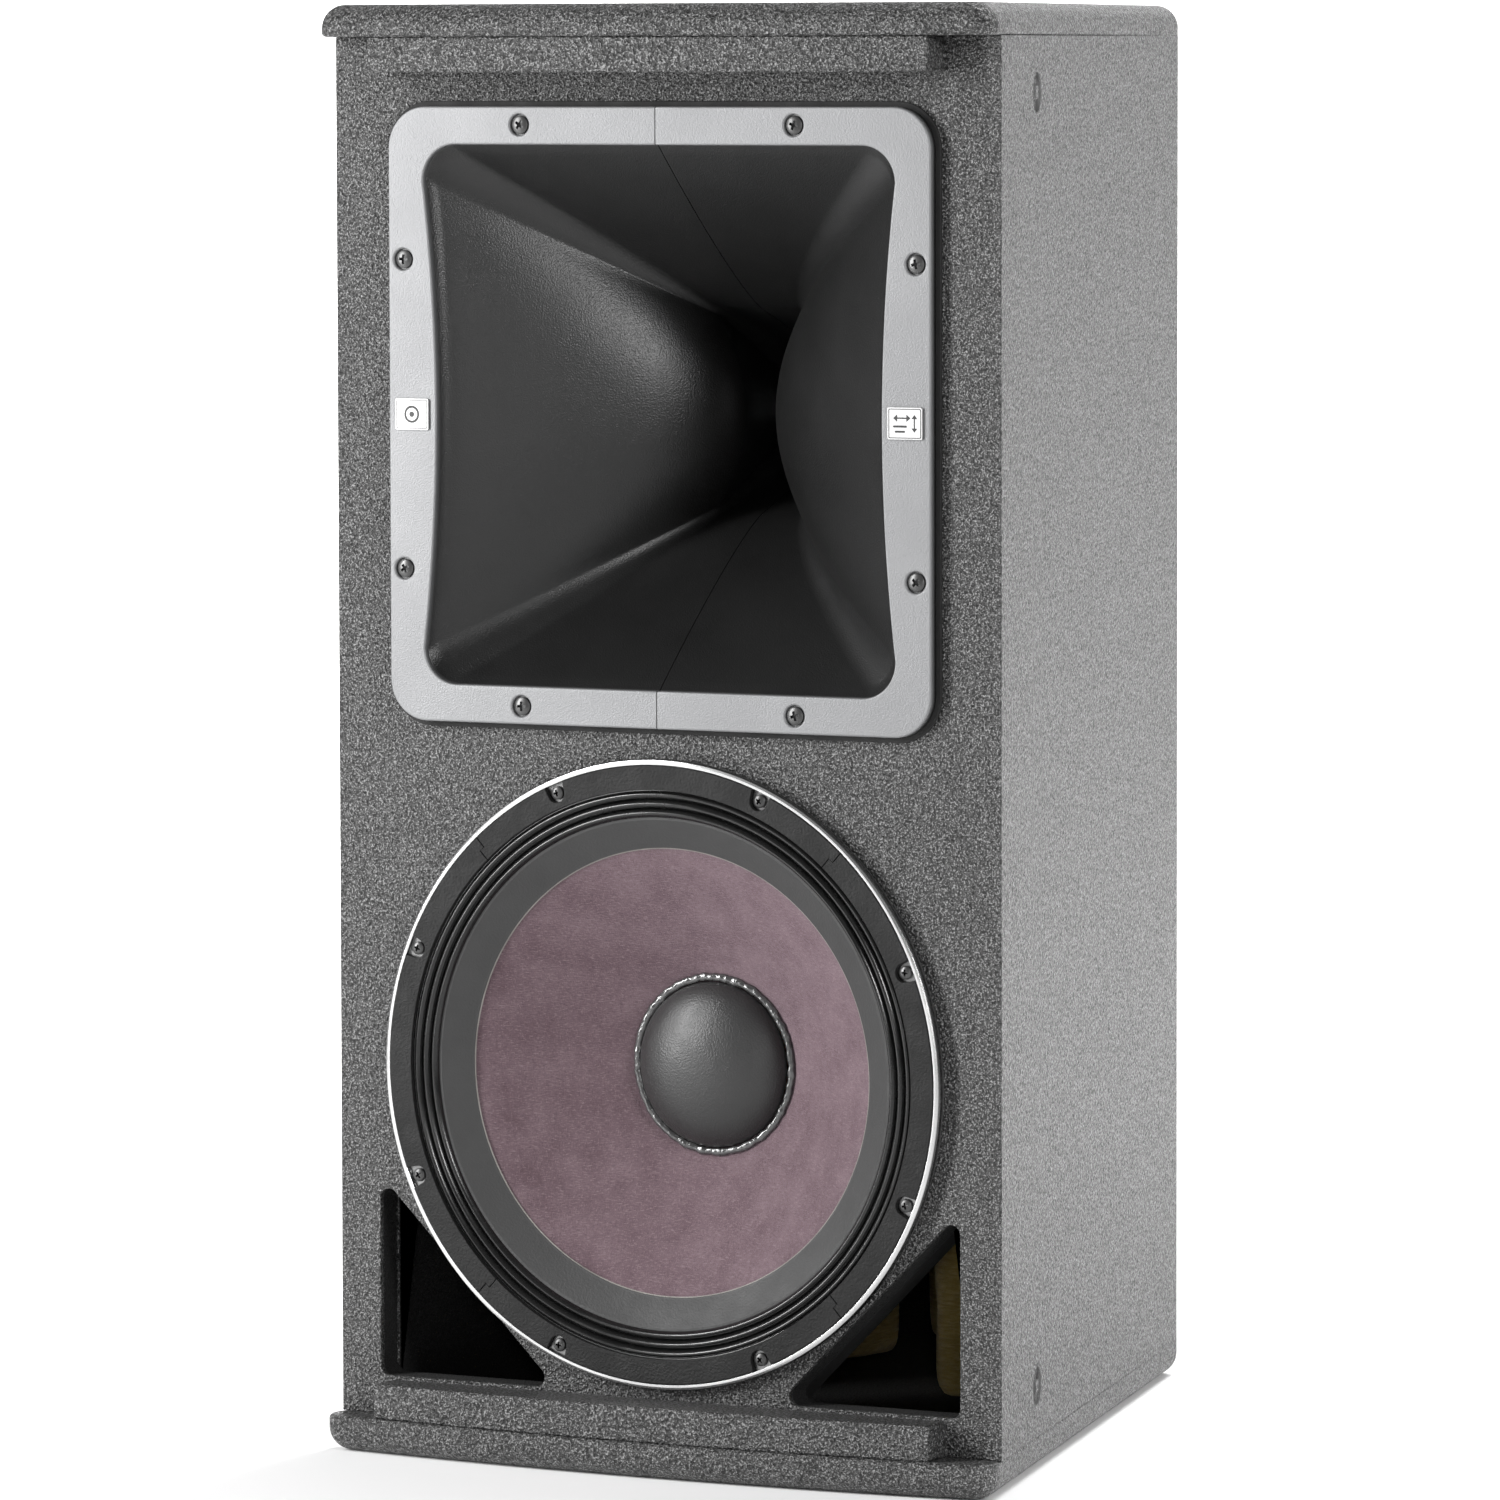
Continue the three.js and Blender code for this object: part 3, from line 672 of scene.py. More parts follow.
def board_outline():
    """Plan outline of the end boards, from the middle of the front round to it again."""
    tilt = atan(2 * LIP_BOW / HALF_WIDTH)
    front_x = HALF_WIDTH - CORNER
    for _ in range(6):
        front_y = bow(front_x + CORNER * sin(tilt), LIP) + CORNER * cos(tilt)
        front_x = outside(front_y) - CORNER / cos(TAPER)
    end_x = front_x + CORNER * sin(tilt)
    steps = 28
    half = [(end_x * i / steps, bow(end_x * i / steps, LIP)) for i in range(steps)]
    half += arc(front_x, front_y, CORNER, -90 + degrees(tilt), 15, 12)
    half += arc(*rear_corner(), CORNER, 15, 90, 12)
    return half + [(-x, y) for x, y in reversed(half[1:])]


def drawn_in(points, amount):
    """A counter-clockwise outline drawn in along its normals; amount depends on the point."""
    count = len(points)
    made = []
    for i, point in enumerate(points):
        along = Vector(points[(i + 1) % count]) - Vector(points[i - 1])
        normal = Vector((-along.y, along.x)).normalized()
        made.append(tuple(Vector(point) + normal * amount(*point)))
    return made


def end_board(name, inner, outer):
    """Top or bottom board: rounded outside edge, and a soft edge inside along the lip."""
    outline = board_outline()
    sign = 1 if outer > inner else -1
    rings = []
    soft = 2.2
    for i in range(5):
        a = pi / 2 * i / 4
        part = soft * (1 - sin(a))
        ring = drawn_in(outline, lambda x, y: part * min(1, max(0, -y / 4)))
        z = inner + sign * soft * (1 - cos(a))
        rings.append([(x, y, z) for x, y in ring])
    steps = 10
    for i in range(steps + 1):
        a = pi / 2 * i / steps
        ring = drawn_in(outline, lambda x, y: EDGE_ROUND * (1 - cos(a)))
        z = outer - sign * EDGE_ROUND * (1 - sin(a))
        rings.append([(x, y, z) for x, y in ring])
    coated(name, lofted(rings))


def make_end_boards():
    end_board("top_panel", TOP_Z, HEIGHT)
    end_board("bottom_panel", BOARD, 0)


def plug_hole():
    """A cutter for one recessed M10 screw, made round the origin and pointing along +y."""
    r, bore, end = 12.0, 5.3, 15.5
    return turned([(0, -3), (r, -3), (r, 1.5), (bore, 6.6), (bore, end), (0, end)], 0, 0, 64)


def wall_turn(sign):
    """Turns a body that points along +y so that it goes into a side wall."""
    return Matrix.Rotation(sign * (TAPER + pi / 2), 4, "Z")


def make_sides():
    """The side boards, mitred to the baffle, with holes for the suspension screws."""
    mitre = [(inside(BOARD), BOARD), (outside(0), 0), (outside(60), 60)]
    end_x = inside(DEPTH)
    rear_edge = [(end_x + 3, DEPTH), (end_x, DEPTH), (end_x, DEPTH - 3)]
    plan = [
        *softened(mitre, 0.4, 4, False),
        *arc(*rear_corner(), CORNER, 15, 90, 14),
        *softened(rear_edge, 0.6, 3, False),
    ]
    hole = plug_hole()
    for side, sign in (("right", 1), ("left", -1)):
        outline = [(sign * x, y) for x, y in plan]
        wall = slab([outline], BOARD, TOP_Z, 0, True)
        x = sign * outside(SCREW_Y)
        cutter = joined([moved(hole, wall_turn(sign), x, SCREW_Y, z) for z in SCREW_Z])
        coated("side_panel_" + side, carved(wall, cutter))


def port_outline(sign):
    """Right-angled triangle under the woofer; gap is from its slant to the woofer's centre."""
    port_x, port_z, r, gap = 162.5, 37, 5, 156
    slant = gap * sqrt(2) - WOOFER_Z
    tip_z = port_x - slant
    tip_x = port_z + slant
    back = r / tan(pi / 8)
    points = [
        *arc(port_x - r, port_z + r, r, -90, 0, 8),
        *arc(port_x - r, tip_z - back, r, 0, 135, 10),
        *arc(tip_x + back, port_z + r, r, 135, 270, 10),
    ]
    return [(sign * x, z) for x, z in points]


def make_baffle():
    """The front board, mitred to the sides, with its four openings."""
    middle_z = (BOARD + TOP_Z) / 2
    outlines = [
        rectangle(0, middle_z, 2 * HALF_WIDTH, TOP_Z - BOARD, 0.5, 2),
        rectangle(0, HORN_Z, HORN_HOLE, HORN_HOLE, 20),
        circle(0, WOOFER_Z, WOOFER_HOLE_R, 160),
        port_outline(1),
        port_outline(-1),
    ]
    mesh = slab(outlines, 0, BOARD, 0.5)
    mitre = 21.4 / BOARD
    for vert in mesh.vertices:
        if abs(vert.co.x) > (HALF_WIDTH - 1.5) * MM:
            depth = vert.co.y - FACE
            vert.co.x -= copysign(mitre * depth, vert.co.x)
    coated("front_baffle", mesh)


def make_back():
    """The back board, let in between the sides, with the input plate's opening."""
    plan_x = inside(DEPTH) - 0.2
    outlines = [
        rectangle(0, (BOARD + TOP_Z) / 2, 2 * plan_x, TOP_Z - BOARD, 0.5, 2),
        rectangle(0, REAR_Z, *INPUT_HOLE, 6),
    ]
    mesh = slab(outlines, DEPTH - BOARD, DEPTH, 0.6)
    hole = plug_hole()
    cutter = joined([moved(hole, REAR_TURN, 0, DEPTH, z) for z in SCREW_Z])
    coated("back_panel", carved(mesh, cutter))


def make_cleats():
    """The bowed strips that the grille is fixed to."""
    half, lip, height, steps = 155, 28, 17.5, 40
    front = [-half + 2 * half * i / steps for i in range(steps + 1)]
    plan = [(half, 0), (-half, 0)] + [(x, bow(x, lip)) for x in front]
    for name, low in (("grille_cleat_top", TOP_Z - height), ("grille_cleat_bottom", BOARD)):
        coated(name, slab([plan], low, low + height, 1.3, True))


def make_suspension_screws():
    """Countersunk M10 screws in the sides and the back, each with a hexagon socket."""
    head, shank, length = 10.2, 5, 15
    profile = [(0, 0), (head, 0), (head, 1.4), (shank, 6.3), (shank, length), (0, length)]
    socket = slab([circle(0, 0, 3.5, 6)], -1, 3.6)
    blank = carved(turned(softened(profile, 0.45, 3, False), 0, 0, 64), socket)
    for place, z in zip(("bottom", "top"), SCREW_Z):
        for side, sign in (("right", 1), ("left", -1)):
            name = "suspension_screw_" + side + "_" + place
            mesh = moved(blank, wall_turn(sign), sign * outside(SCREW_Y), SCREW_Y, z)
            finished(name, mesh, PLUG_GREY, [name])
        name = "suspension_screw_back_" + place
        finished(name, moved(blank, REAR_TURN, 0, DEPTH, z), PLUG_GREY, [name])


# ---- screws


def cross_screw(r, height, length=8.0):
    """A pan head screw with a cross recess, pointing along +y from its seat at y = 0."""
    slopes = (0, 0.35, 0.7, 1.05, 1.35)
    dome = [(r * sin(a), -height * (0.45 + 0.55 * cos(a))) for a in slopes]
    profile = dome + [(r, -height * 0.35), (r, 0), (r * 0.5, 0), (r * 0.5, length), (0, length)]
    blank = turned(profile, 0, 0, 40)
    arm, wide = r * 0.52, r * 0.15
    cross = [
        (arm, wide), (wide, wide), (wide, arm), (-wide, arm), (-wide, wide), (-arm, wide),
        (-arm, -wide), (-wide, -wide), (-wide, -arm), (wide, -arm), (wide, -wide), (arm, -wide),
    ]
    return carved(blank, slab([cross], -height - 1, -height * 0.25))


def front_screws(name, blank, places, seat_y):
    """Copies of one screw as a single piece, each turned a little differently."""
    copies = []
    for i, (x, z) in enumerate(places):
        turn = Matrix.Rotation(radians(37 * i), 4, "Y")
        copies.append(moved(blank, turn, x, seat_y, z))
    finished(name, joined(copies), BLACK_SCREW)


def rear_screws(name, blank, places, seat_y, material):
    copies = [moved(blank, REAR_TURN, x, seat_y, z) for x, z in places]
    finished(name, joined(copies), material)


# ---- horn


def horn_ring(y, a0, a1, b, r, side, grow=0.0):
    """Half a cross-section, from the seam at the top round one side to the seam below:
    half width a0 at mid height and a1 at the corners, half height b, corner radius r."""
    seam = 0.22
    top = b + grow
    wide = a1 + grow
    radius = r + grow
    quarter = [(seam + (wide - radius - seam) * i / 10, top) for i in range(10)]
    for i in range(13):
        a = pi / 2 * (1 - i / 12)
        quarter.append((wide - radius + radius * cos(a), top - radius + radius * sin(a)))
    side_top = top - radius
    for i in range(1, 17):
        z = side_top * (1 - i / 16)
        bulge = (a1 - a0) * (1 - (z / max(side_top, 1e-6)) ** 2)
        quarter.append((wide - bulge, z))
    half = quarter + [(x, -z) for x, z in reversed(quarter[:-1])]
    return [(side * x, y, z + HORN_Z) for x, z in half]


def horn_sizes(y):
    """Inside sizes at depth y: a flared mouth, a tall narrow slot, then a round throat."""
    if y <= SLOT_Y:
        t = 1 - max(y, 0) / SLOT_Y
        return 9 + 112 * t ** 1.55, 24 + 104 * t ** 1.4, 50 + 79 * t ** 1.2, 3 + 14 * t
    t = (y - SLOT_Y) / (THROAT_Y - SLOT_Y)
    blend = [(9, 19), (24, 19), (50, 19), (3, 18)]
    return tuple(a + (b - a) * t for a, b in blend)


FLANGE_OUTLINE = (FLANGE_X, FLANGE_X, FLANGE_Z, 20.5)
MOUTH_OUTLINE = (123.8, 131.0, 132.7, 18.0)
SEAT_Y = FLANGE_FACE + 2.1


def horn_body(side):
    """The closed shell of one half behind its face: mouth, flare, throat and the skin behind."""
    cover = 0.02
    rings = [horn_ring(y, *FLANGE_OUTLINE, side, cover) for y in (-0.3, SEAT_Y)]
    inner = [SLOT_Y * (i / 40) ** 1.15 for i in range(41)]
    inner += [SLOT_Y + (THROAT_Y - SLOT_Y) * i / 10 for i in range(1, 11)]
    rings += [horn_ring(y, *MOUTH_OUTLINE, side, -cover) for y in (SEAT_Y, SEAT_Y + 1.2)]
    rings += [horn_ring(y, *horn_sizes(y), side) for y in inner]
    rear = (46, 46, 46, 45.9)
    rings += [horn_ring(y, *rear, side) for y in (THROAT_Y, THROAT_Y - 8)]
    skin = 3.5
    outer = (182, 160, 130, 103, 82, 62, 44, 27, 12, 1)
    rings += [horn_ring(y, *horn_sizes(y), side, skin) for y in outer]
    rings.append(horn_ring(-0.3, *horn_sizes(0), side, skin))
    return wrapped(rings)


def flange_plate(side, holes):
    """The flat face of one half, with rounded edges and a hole at each screw."""
    outer = [(x, z) for x, y, z in horn_ring(0, *FLANGE_OUTLINE, side)]
    mouth = [(x, z) for x, y, z in horn_ring(0, *MOUTH_OUTLINE, side)]
    past_seam = 0.75
    ring = outer + mouth[::-1]
    for i in (0, len(outer) - 1, len(outer), len(ring) - 1):
        x, z = ring[i]
        ring[i] = (x - side * past_seam, z)
    outlines = [ring] + [circle(x, z, 5.3, 40) for x, z in holes]
    return slab(outlines, FLANGE_FACE, SEAT_Y + 2.2, 1.0)


def horn_screw_places():
    near, far = 76.2, 142.4
    level = [(sx * near, HORN_Z + sz * far) for sx in (-1, 1) for sz in (-1, 1)]
    upright = [(sx * far, HORN_Z + sz * near) for sx in (-1, 1) for sz in (-1, 1)]
    return level + upright


def make_horn():
    places = horn_screw_places()
    for name, side in (("horn_left", -1), ("horn_right", 1)):
        holes = [(x, z) for x, z in places if x * side > 0]
        mesh = joined([horn_body(side), flange_plate(side, holes)])
        finished(name, mesh, HORN, [name], sharp=40)
    front_screws("horn_screws", cross_screw(4.5, 2.2), places, SEAT_Y)
    ring = [
        rectangle(0, HORN_Z, 2 * FLANGE_X + 5.4, 2 * FLANGE_Z + 5.4, 23),
        rectangle(0, HORN_Z, 2 * FLANGE_X - 14, 2 * FLANGE_Z - 14, 14),
    ]
    finished("horn_gasket", slab(ring, -1.7, 0.1, 0.5), FOAM)


def arrow_outline(length, thick, head):
    """A double-headed arrow along x, round the origin."""
    half = length / 2
    return [
        (-half, 0), (-half + head, head * 0.8), (-half + head, thick), (half - head, thick),
        (half - head, head * 0.8), (half, 0), (half - head, -head * 0.8), (half - head, -thick),
        (-half + head, -thick), (-half + head, -head * 0.8),
    ]


def make_badges():
    """Plates with a plain ring on the left, and arrows for across and up on the right."""
    face = FLANGE_FACE - 0.3
    ink_y = face - 0.86

    def inked(*outlines):
        return slab(outlines, ink_y, ink_y + 0.1)

    for side, sign in (("left", -1), ("right", 1)):
        x = sign * 137.2
        plate = slab([rectangle(x, HORN_Z, 19, 15.6, 1.0, 4)], face - 0.8, face, 0.25)
        finished("horn_badge_" + side, plate, BADGE, ["horn_badge_" + side])
        border = rectangle(x, HORN_Z, 17.6, 14.2, 0.7, 4)
        marks = [inked(border, rectangle(x, HORN_Z, 16.8, 13.4, 0.5, 4))]
        if side == "left":
            marks.append(inked(circle(x, HORN_Z, 4.3, 48), circle(x, HORN_Z, 3.1, 48)))
            marks.append(inked(circle(x, HORN_Z, 1.4, 32)))
        else:
            arrow = arrow_outline(9.4, 0.35, 2.2)
            across = [(x - 1.6 + u, HORN_Z + 2.6 + v) for u, v in arrow]
            upright = [(x + 5.2 + v * 0.9, HORN_Z + u * 0.9) for u, v in arrow]
            marks += [inked(across), inked(upright)]
            for k in range(2):
                bar = rectangle(x - 2.6, HORN_Z - 1.4 - 2.5 * k, 7.4 - 2 * k, 1.0, 0.3, 2)
                marks.append(inked(bar))
        finished("badge_marks_" + side, joined(marks), INK)


# ---- woofer


def make_frame():
    """The cast frame: turned rim, seat under the gasket, and the funnel with its windows."""
    name = "woofer_basket"
    front = (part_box(name)[0].y - FACE) / MM
    wall = WOOFER_R - 1.0
    rim = [
        (139.2, -5), (152, -5), (152, front), (153.4, front), (154.5, front + 0.5),
        (WOOFER_R, front + 1.6), (WOOFER_R, -3.4), (wall, -2.8), (wall, 0),
    ]
    funnel = [
        (140.6, 0), (140.6, 8), (100, 84), (100, 92), (62, 92), (62, 86), (97, 83), (139.2, 8),
    ]
    mesh = turned(softened(rim + funnel, 0.4, 3), 0, WOOFER_Z, 240)
    windows = []
    for i in range(6):
        window = slab([rectangle(0, 114, 72, 60, 9, 5)], -30, 30)
        turn = Matrix.Rotation(radians(60 * i), 4, "Y")
        windows.append(moved(window, turn, 0, 48, WOOFER_Z))
    finished(name, carved(mesh, joined(windows)), CASTING, [name], sharp=30)


SCREW_R = 147.5
SCREW_ANGLES = [22.5 + 45 * k for k in range(8)]


def gasket_edge(angle):
    """The gasket's outer radius at an angle, bitten away round each screw."""
    outer, bite = 151.7, 4.7
    off = radians(min(abs((angle - a + 180) % 360 - 180) for a in SCREW_ANGLES))
    aside = SCREW_R * sin(off)
    if aside < bite:
        return min(outer, SCREW_R * cos(off) - sqrt(bite ** 2 - aside ** 2))
    return outer


def make_gasket():
    """Four pressed segments with stepped joints between them."""
    joints = [48, 132, 228, 312]
    inner, mid, step, gap = 139.7, 145.5, 1.1, 0.07
    segments = []
    for k, start in enumerate(joints):
        end = joints[(k + 1) % 4] + (360 if k == 3 else 0)
        span = end - start - 2 * gap
        edge = [(mid, start + step + gap), (mid, start + gap)]
        count = int((end - start) * 4)
        for i in range(count + 1):
            a = start + gap + span * i / count
            edge.append((gasket_edge(a % 360), a))
        edge += [(mid, end - gap), (mid, end + step - gap)]
        for i in range(count // 2 + 1):
            edge.append((inner, end + step - gap - span * i / (count // 2)))
        outline = [polar(r, a, WOOFER_Z) for r, a in edge]
        segments.append(slab([outline], -7.7, -5.1, 0.35))
    finished("woofer_gasket", joined(segments), GASKET, ["woofer_gasket"])
    places = [polar(SCREW_R, a, WOOFER_Z) for a in SCREW_ANGLES]
    front_screws("woofer_screws", cross_screw(3.3, 2.2), places, -5.0)


def roll_profile(r0, r1, y0, y1, rolls, height, thick, per_roll, sharpness):
    """Front and back lines of a ring with rounded rolls, as one closed profile."""
    front = []
    back = []
    count = rolls * per_roll
    for i in range(count + 1):
        s = i / count
        wave = height * abs(sin(pi * rolls * s)) ** sharpness
        y = y0 + (y1 - y0) * s - wave
        r = r0 + (r1 - r0) * s
        front.append((r, y))
        back.append((r, y + thick))
    return front + back[::-1]


def blended_ring(node, mesh, material):
    """A soft ring between the moving cone and the fixed frame, left on no body in place of its CAD
    node.
    """
    obj = finished(node, mesh, material)
    obj.parent = None
    del obj["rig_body"]
    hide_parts(node)
    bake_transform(obj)


def make_soft_rings():
    """The three-roll surround in front and the corrugated spider behind."""
    rolls = roll_profile(125.9, 139.5, -2.6, -3.6, 3, 2.9, 0.8, 14, 0.75)
    mesh = turned(rolls, 0, WOOFER_Z, 240)
    blended_ring("woofer_surround", mesh, ROLLS)
    corrugations = roll_profile(39.4, 99.4, 75, 75, 8, 3.2, 0.7, 8, 1.0)
    mesh = turned(corrugations, 0, WOOFER_Z, 144)
    blended_ring("woofer_spider", mesh, SPIDER_CLOTH)


def cone_y(r):
    """Depth of the cone's front at a radius: a slightly hollow flare."""
    inner_r, outer_r, deep, shallow, hollow = 45.6, 110.7, 50.4, 5.6, 0.9
    t = (r - inner_r) / (outer_r - inner_r)
    return deep + (shallow - deep) * t + hollow * sin(pi * min(1, max(0, t)))


def make_cone():
    """The rippled paper cone, the line of glue at its edge, and the dark band outside it."""
    inner_r, outer_r = 45.0, 111.2
    radii = [inner_r + (outer_r - inner_r) * i / 36 for i in range(37)]
    front = [(r, cone_y(r)) for r in radii]
    back = [(r, cone_y(r) + 1.2) for r in reversed(radii)]
    neck = [(38.9, 56.4), (38.9, 54.8)]
    mesh = turned(front + back + neck, 0, WOOFER_Z, 240)
    ripple = 0.00016
    for vert in mesh.vertices:
        vert.co.y += ripple * noise.noise(Vector((vert.co.x, 0, vert.co.z)) * 45)
    finished("woofer_cone", mesh, PAPER, ["woofer_cone"], CONE_BODY)
    band = softened([
        (110.4, 5.0), (111.4, 4.6), (124.8, -3.1), (126.4, -3.3), (126.4, -2.2), (111.0, 6.4),
    ], 0.5, 3)
    line = softened([(110.0, 5.45), (110.8, 4.95), (111.0, 5.4), (110.2, 5.9)], 0.15, 2)
    for name, profile, material, slot in (
        ("cone_edge_glue", line, DRIED_GLUE, "cone_paper"),
        ("cone_edge_band", band, BAND, "surround_cloth"),
    ):
        finished(name, turned(profile, 0, WOOFER_Z, 240), material, body=CONE_BODY)


def make_dust_cap():
    r, base, apex = 41.0, 49.8, 33.0
    steps = 24
    front = []
    for i in range(steps + 1):
        a = pi / 2 * i / steps
        front.append((r * sin(a) ** 0.92, base - (base - apex) * cos(a) ** 1.15))
    back = [(x * 0.975, y + 1.1) for x, y in reversed(front)]
    mesh = turned(front + back, 0, WOOFER_Z, 160)
    finished("woofer_dust_cap", mesh, DOME, ["woofer_dust_cap"], CONE_BODY)


def make_glue_bead():
    """The uneven bead of glue round the dust cap."""
    rings = 360
    section = 10
    points = []
    for i in range(rings):
        a = 2 * pi * i / rings
        place = Vector((cos(a), sin(a), 0))
        wide = 2.0 + 0.6 * noise.noise(place * 9) + 0.35 * noise.noise(place * 28)
        lift = 1.5 + 0.5 * noise.noise(place * 17 + Vector((5, 0, 0)))
        mid = 43.3 + 0.5 * noise.noise(place * 12 + Vector((0, 7, 0)))
        for k in range(section):
            b = 2 * pi * k / section
            r = mid + wide * cos(b)
            y = cone_y(45.6) - 0.4 + lift * sin(b)
            points.append((r * cos(a), y, WOOFER_Z + r * sin(a)))
    faces = []
    for i in range(rings):
        for k in range(section):
            j, m = (i + 1) % rings, (k + 1) % section
            faces.append([i * section + k, j * section + k, j * section + m, i * section + m])
    mesh = mesh_of(points, faces)
    finished("dust_cap_glue", mesh, GLUE, body=CONE_BODY, sharp=180)


# ---- rear panel


def make_input_plate():
    """A shallow tray with a slot for the mode switch, and four screws."""
    floor_y, wall = 402, 2.5
    switch_z = REAR_Z - 53.5
    front = (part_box("input_plate")[1].y - FACE) / MM
    room = (72.4, 120.4)
    plate = [rectangle(0, REAR_Z, 94, 144, 6), rectangle(0, REAR_Z, *room, 3)]
    walls = [rectangle(0, REAR_Z, 77.4, 125.4, 5.7), rectangle(0, REAR_Z, *room, 3)]
    floor = [rectangle(0, REAR_Z, *room, 3), rectangle(0, switch_z, 18, 7, 0.8, 3)]
    meshes = [
        slab(plate, front - 3, front, 0.7),
        slab(walls, floor_y - wall, front - 2.5, 0.3),
        slab(floor, floor_y - wall, floor_y, 0.2),
    ]
    finished("input_plate", joined(meshes), PLASTIC, ["input_plate"])
    knob_y = floor_y + 5
    knob = [slab([rectangle(0, switch_z, 8, 6, 0.6, 3)], floor_y - 1.5, knob_y - 1.2, 0.3)]
    for k in range(4):
        ridge = rectangle(-3 + 2 * k, switch_z, 1.1, 6, 0.3, 2)
        knob.append(slab([ridge], knob_y - 1.6, knob_y, 0.3))
    name = "mode_switch_slider"
    finished(name, joined(knob), ZINC, [name], "mode_switch")
    corners = [(sx * 42.2, REAR_Z + sz * 66.6) for sx in (-1, 1) for sz in (-1, 1)]
    rear_screws("input_plate_screws", cross_screw(3.4, 2.0), corners, front, BLACK_SCREW)


def pins(angles, ring_r, pin_r, steps, z, low, high):
    """Round pins on a ring about the height z."""
    spots = [polar(ring_r, angle, z) for angle in angles]
    return [slab([circle(*spot, pin_r, steps)], low, high, 0.2) for spot in spots]


def make_sockets():
    """Round twist-lock sockets: square flange, deep cup, centre post and four contacts."""
    y0 = REAR_FLOOR
    cup_r, wall_r, post_r = 12, 14.5, 5
    cup = softened([
        (cup_r, y0), (cup_r, y0 + 17), (13, y0 + 18), (wall_r, y0 + 18), (wall_r, y0 + 2),
        (wall_r, y0),
    ], 0.5, 3)
    floor = [(0, y0 + 0.2), (12.1, y0 + 0.2), (12.1, y0 + 3), (0, y0 + 3)]
    post = [(0, y0 + 2), (post_r, y0 + 2), (post_r, y0 + 15), (0, y0 + 15)]
    post = softened(post, 0.7, 3, False)
    for name, z in (("speaker_socket_in", REAR_Z + 38), ("speaker_socket_link", REAR_Z + 2)):
        flange = [rectangle(0, z, 32, 32, 3, 6), circle(0, z, cup_r, 48)]
        parts = [
            slab(flange, y0, y0 + 3, 0.5),
            turned(cup, 0, z, 72),
            turned(floor, 0, z, 48),
            turned(post, 0, z, 48),
            *pins((80, 200, 320), 11.6, 1.1, 16, z, y0 + 2, y0 + 16),
        ]
        finished(name, joined(parts), PLASTIC, [name])
        contacts = pins((45, 135, 225, 315), 5.35, 0.9, 12, z, y0 + 3, y0 + 12)
        finished(name + "_contacts", joined(contacts), BRASS)
        places = [(side * 12.9, z + side * 12.9) for side in (-1, 1)]
        rear_screws(name + "_screws", cross_screw(2.0, 1.2, 3), places, y0 + 3, BLACK_SCREW)


def make_terminals():
    """A barrier strip: four clamp screws between five low walls."""
    y0, z, pitch = REAR_FLOOR, REAR_Z - 32, 14.5
    parts = [slab([rectangle(0, z, 60, 20, 1, 3)], y0, y0 + 7, 0.5)]
    for i in range(5):
        parts.append(slab([rectangle(pitch * (i - 2), z, 2, 20, 0.6, 3)], y0 + 6, y0 + 14, 0.4))
    finished("terminal_strip", joined(parts), PLASTIC, ["terminal_strip"])
    places = [(pitch * (i - 1.5), z) for i in range(4)]
    rear_screws("terminal_screws", cross_screw(3.6, 2.4, 3), places, y0 + 8.4, ZINC)
    clamps = [slab([rectangle(x, z, 10, 13, 1, 3)], y0 + 7, y0 + 8.4, 0.3) for x, z in places]
    finished("terminal_clamps", joined(clamps), BRASS)


# ---- inside


def batt(name, start, end, thick, low, high, node):
    """A fluffy slab of glass wool whose back lies along start to end in plan."""
    along = Vector(end) - Vector(start)
    inward = Vector((-along.y, along.x)).normalized()
    cell = 8
    nu = int(along.length / cell)
    nv = int((high - low) / cell)
    nw = max(3, thick // 10)
    shell = bmesh.new()
    grid = {}
    for i in range(nu + 1):
        for j in range(nv + 1):
            for k in range(nw + 1):
                if 0 < i < nu and 0 < j < nv and 0 < k < nw:
                    continue
                u, v, w = i / nu, j / nv, k / nw
                pull = 3.5 * (abs(2 * u - 1) ** 12 + abs(2 * v - 1) ** 12)
                away = w * (thick - pull) if k else 0.4
                flat = Vector(start) + along * (0.012 + 0.976 * u) + inward * away
                z = low + (high - low) * (0.006 + 0.988 * v)
                spot = Vector((flat.x, flat.y, z))
                rough = noise.noise(spot * 0.06) * 1.6 + noise.noise(spot * 0.21) * 0.9
                x, y = flat - inward * (w * (1.6 + rough))
                point = (x * MM, y * MM + FACE, (z + w * rough) * MM)
                grid[i, j, k] = shell.verts.new(point)
    sides = []
    for i in range(nu):
        for j in range(nv):
            for k in (0, nw):
                sides.append([(i, j, k), (i + 1, j, k), (i + 1, j + 1, k), (i, j + 1, k)])
    for k in range(nw):
        for i in range(nu):
            for j in (0, nv):
                sides.append([(i, j, k), (i + 1, j, k), (i + 1, j, k + 1), (i, j, k + 1)])
        for j in range(nv):
            for i in (0, nu):
                sides.append([(i, j, k), (i, j + 1, k), (i, j + 1, k + 1), (i, j, k + 1)])
    for side in sides:
        shell.faces.new([grid[key] for key in side])
    mesh = bpy.data.meshes.new(name)
    shell.to_mesh(mesh)
    shell.free()
    obj = finished(name, mesh, WOOL, [node], sharp=180)
    obj.modifiers.new("soft", "SUBSURF").render_levels = 1


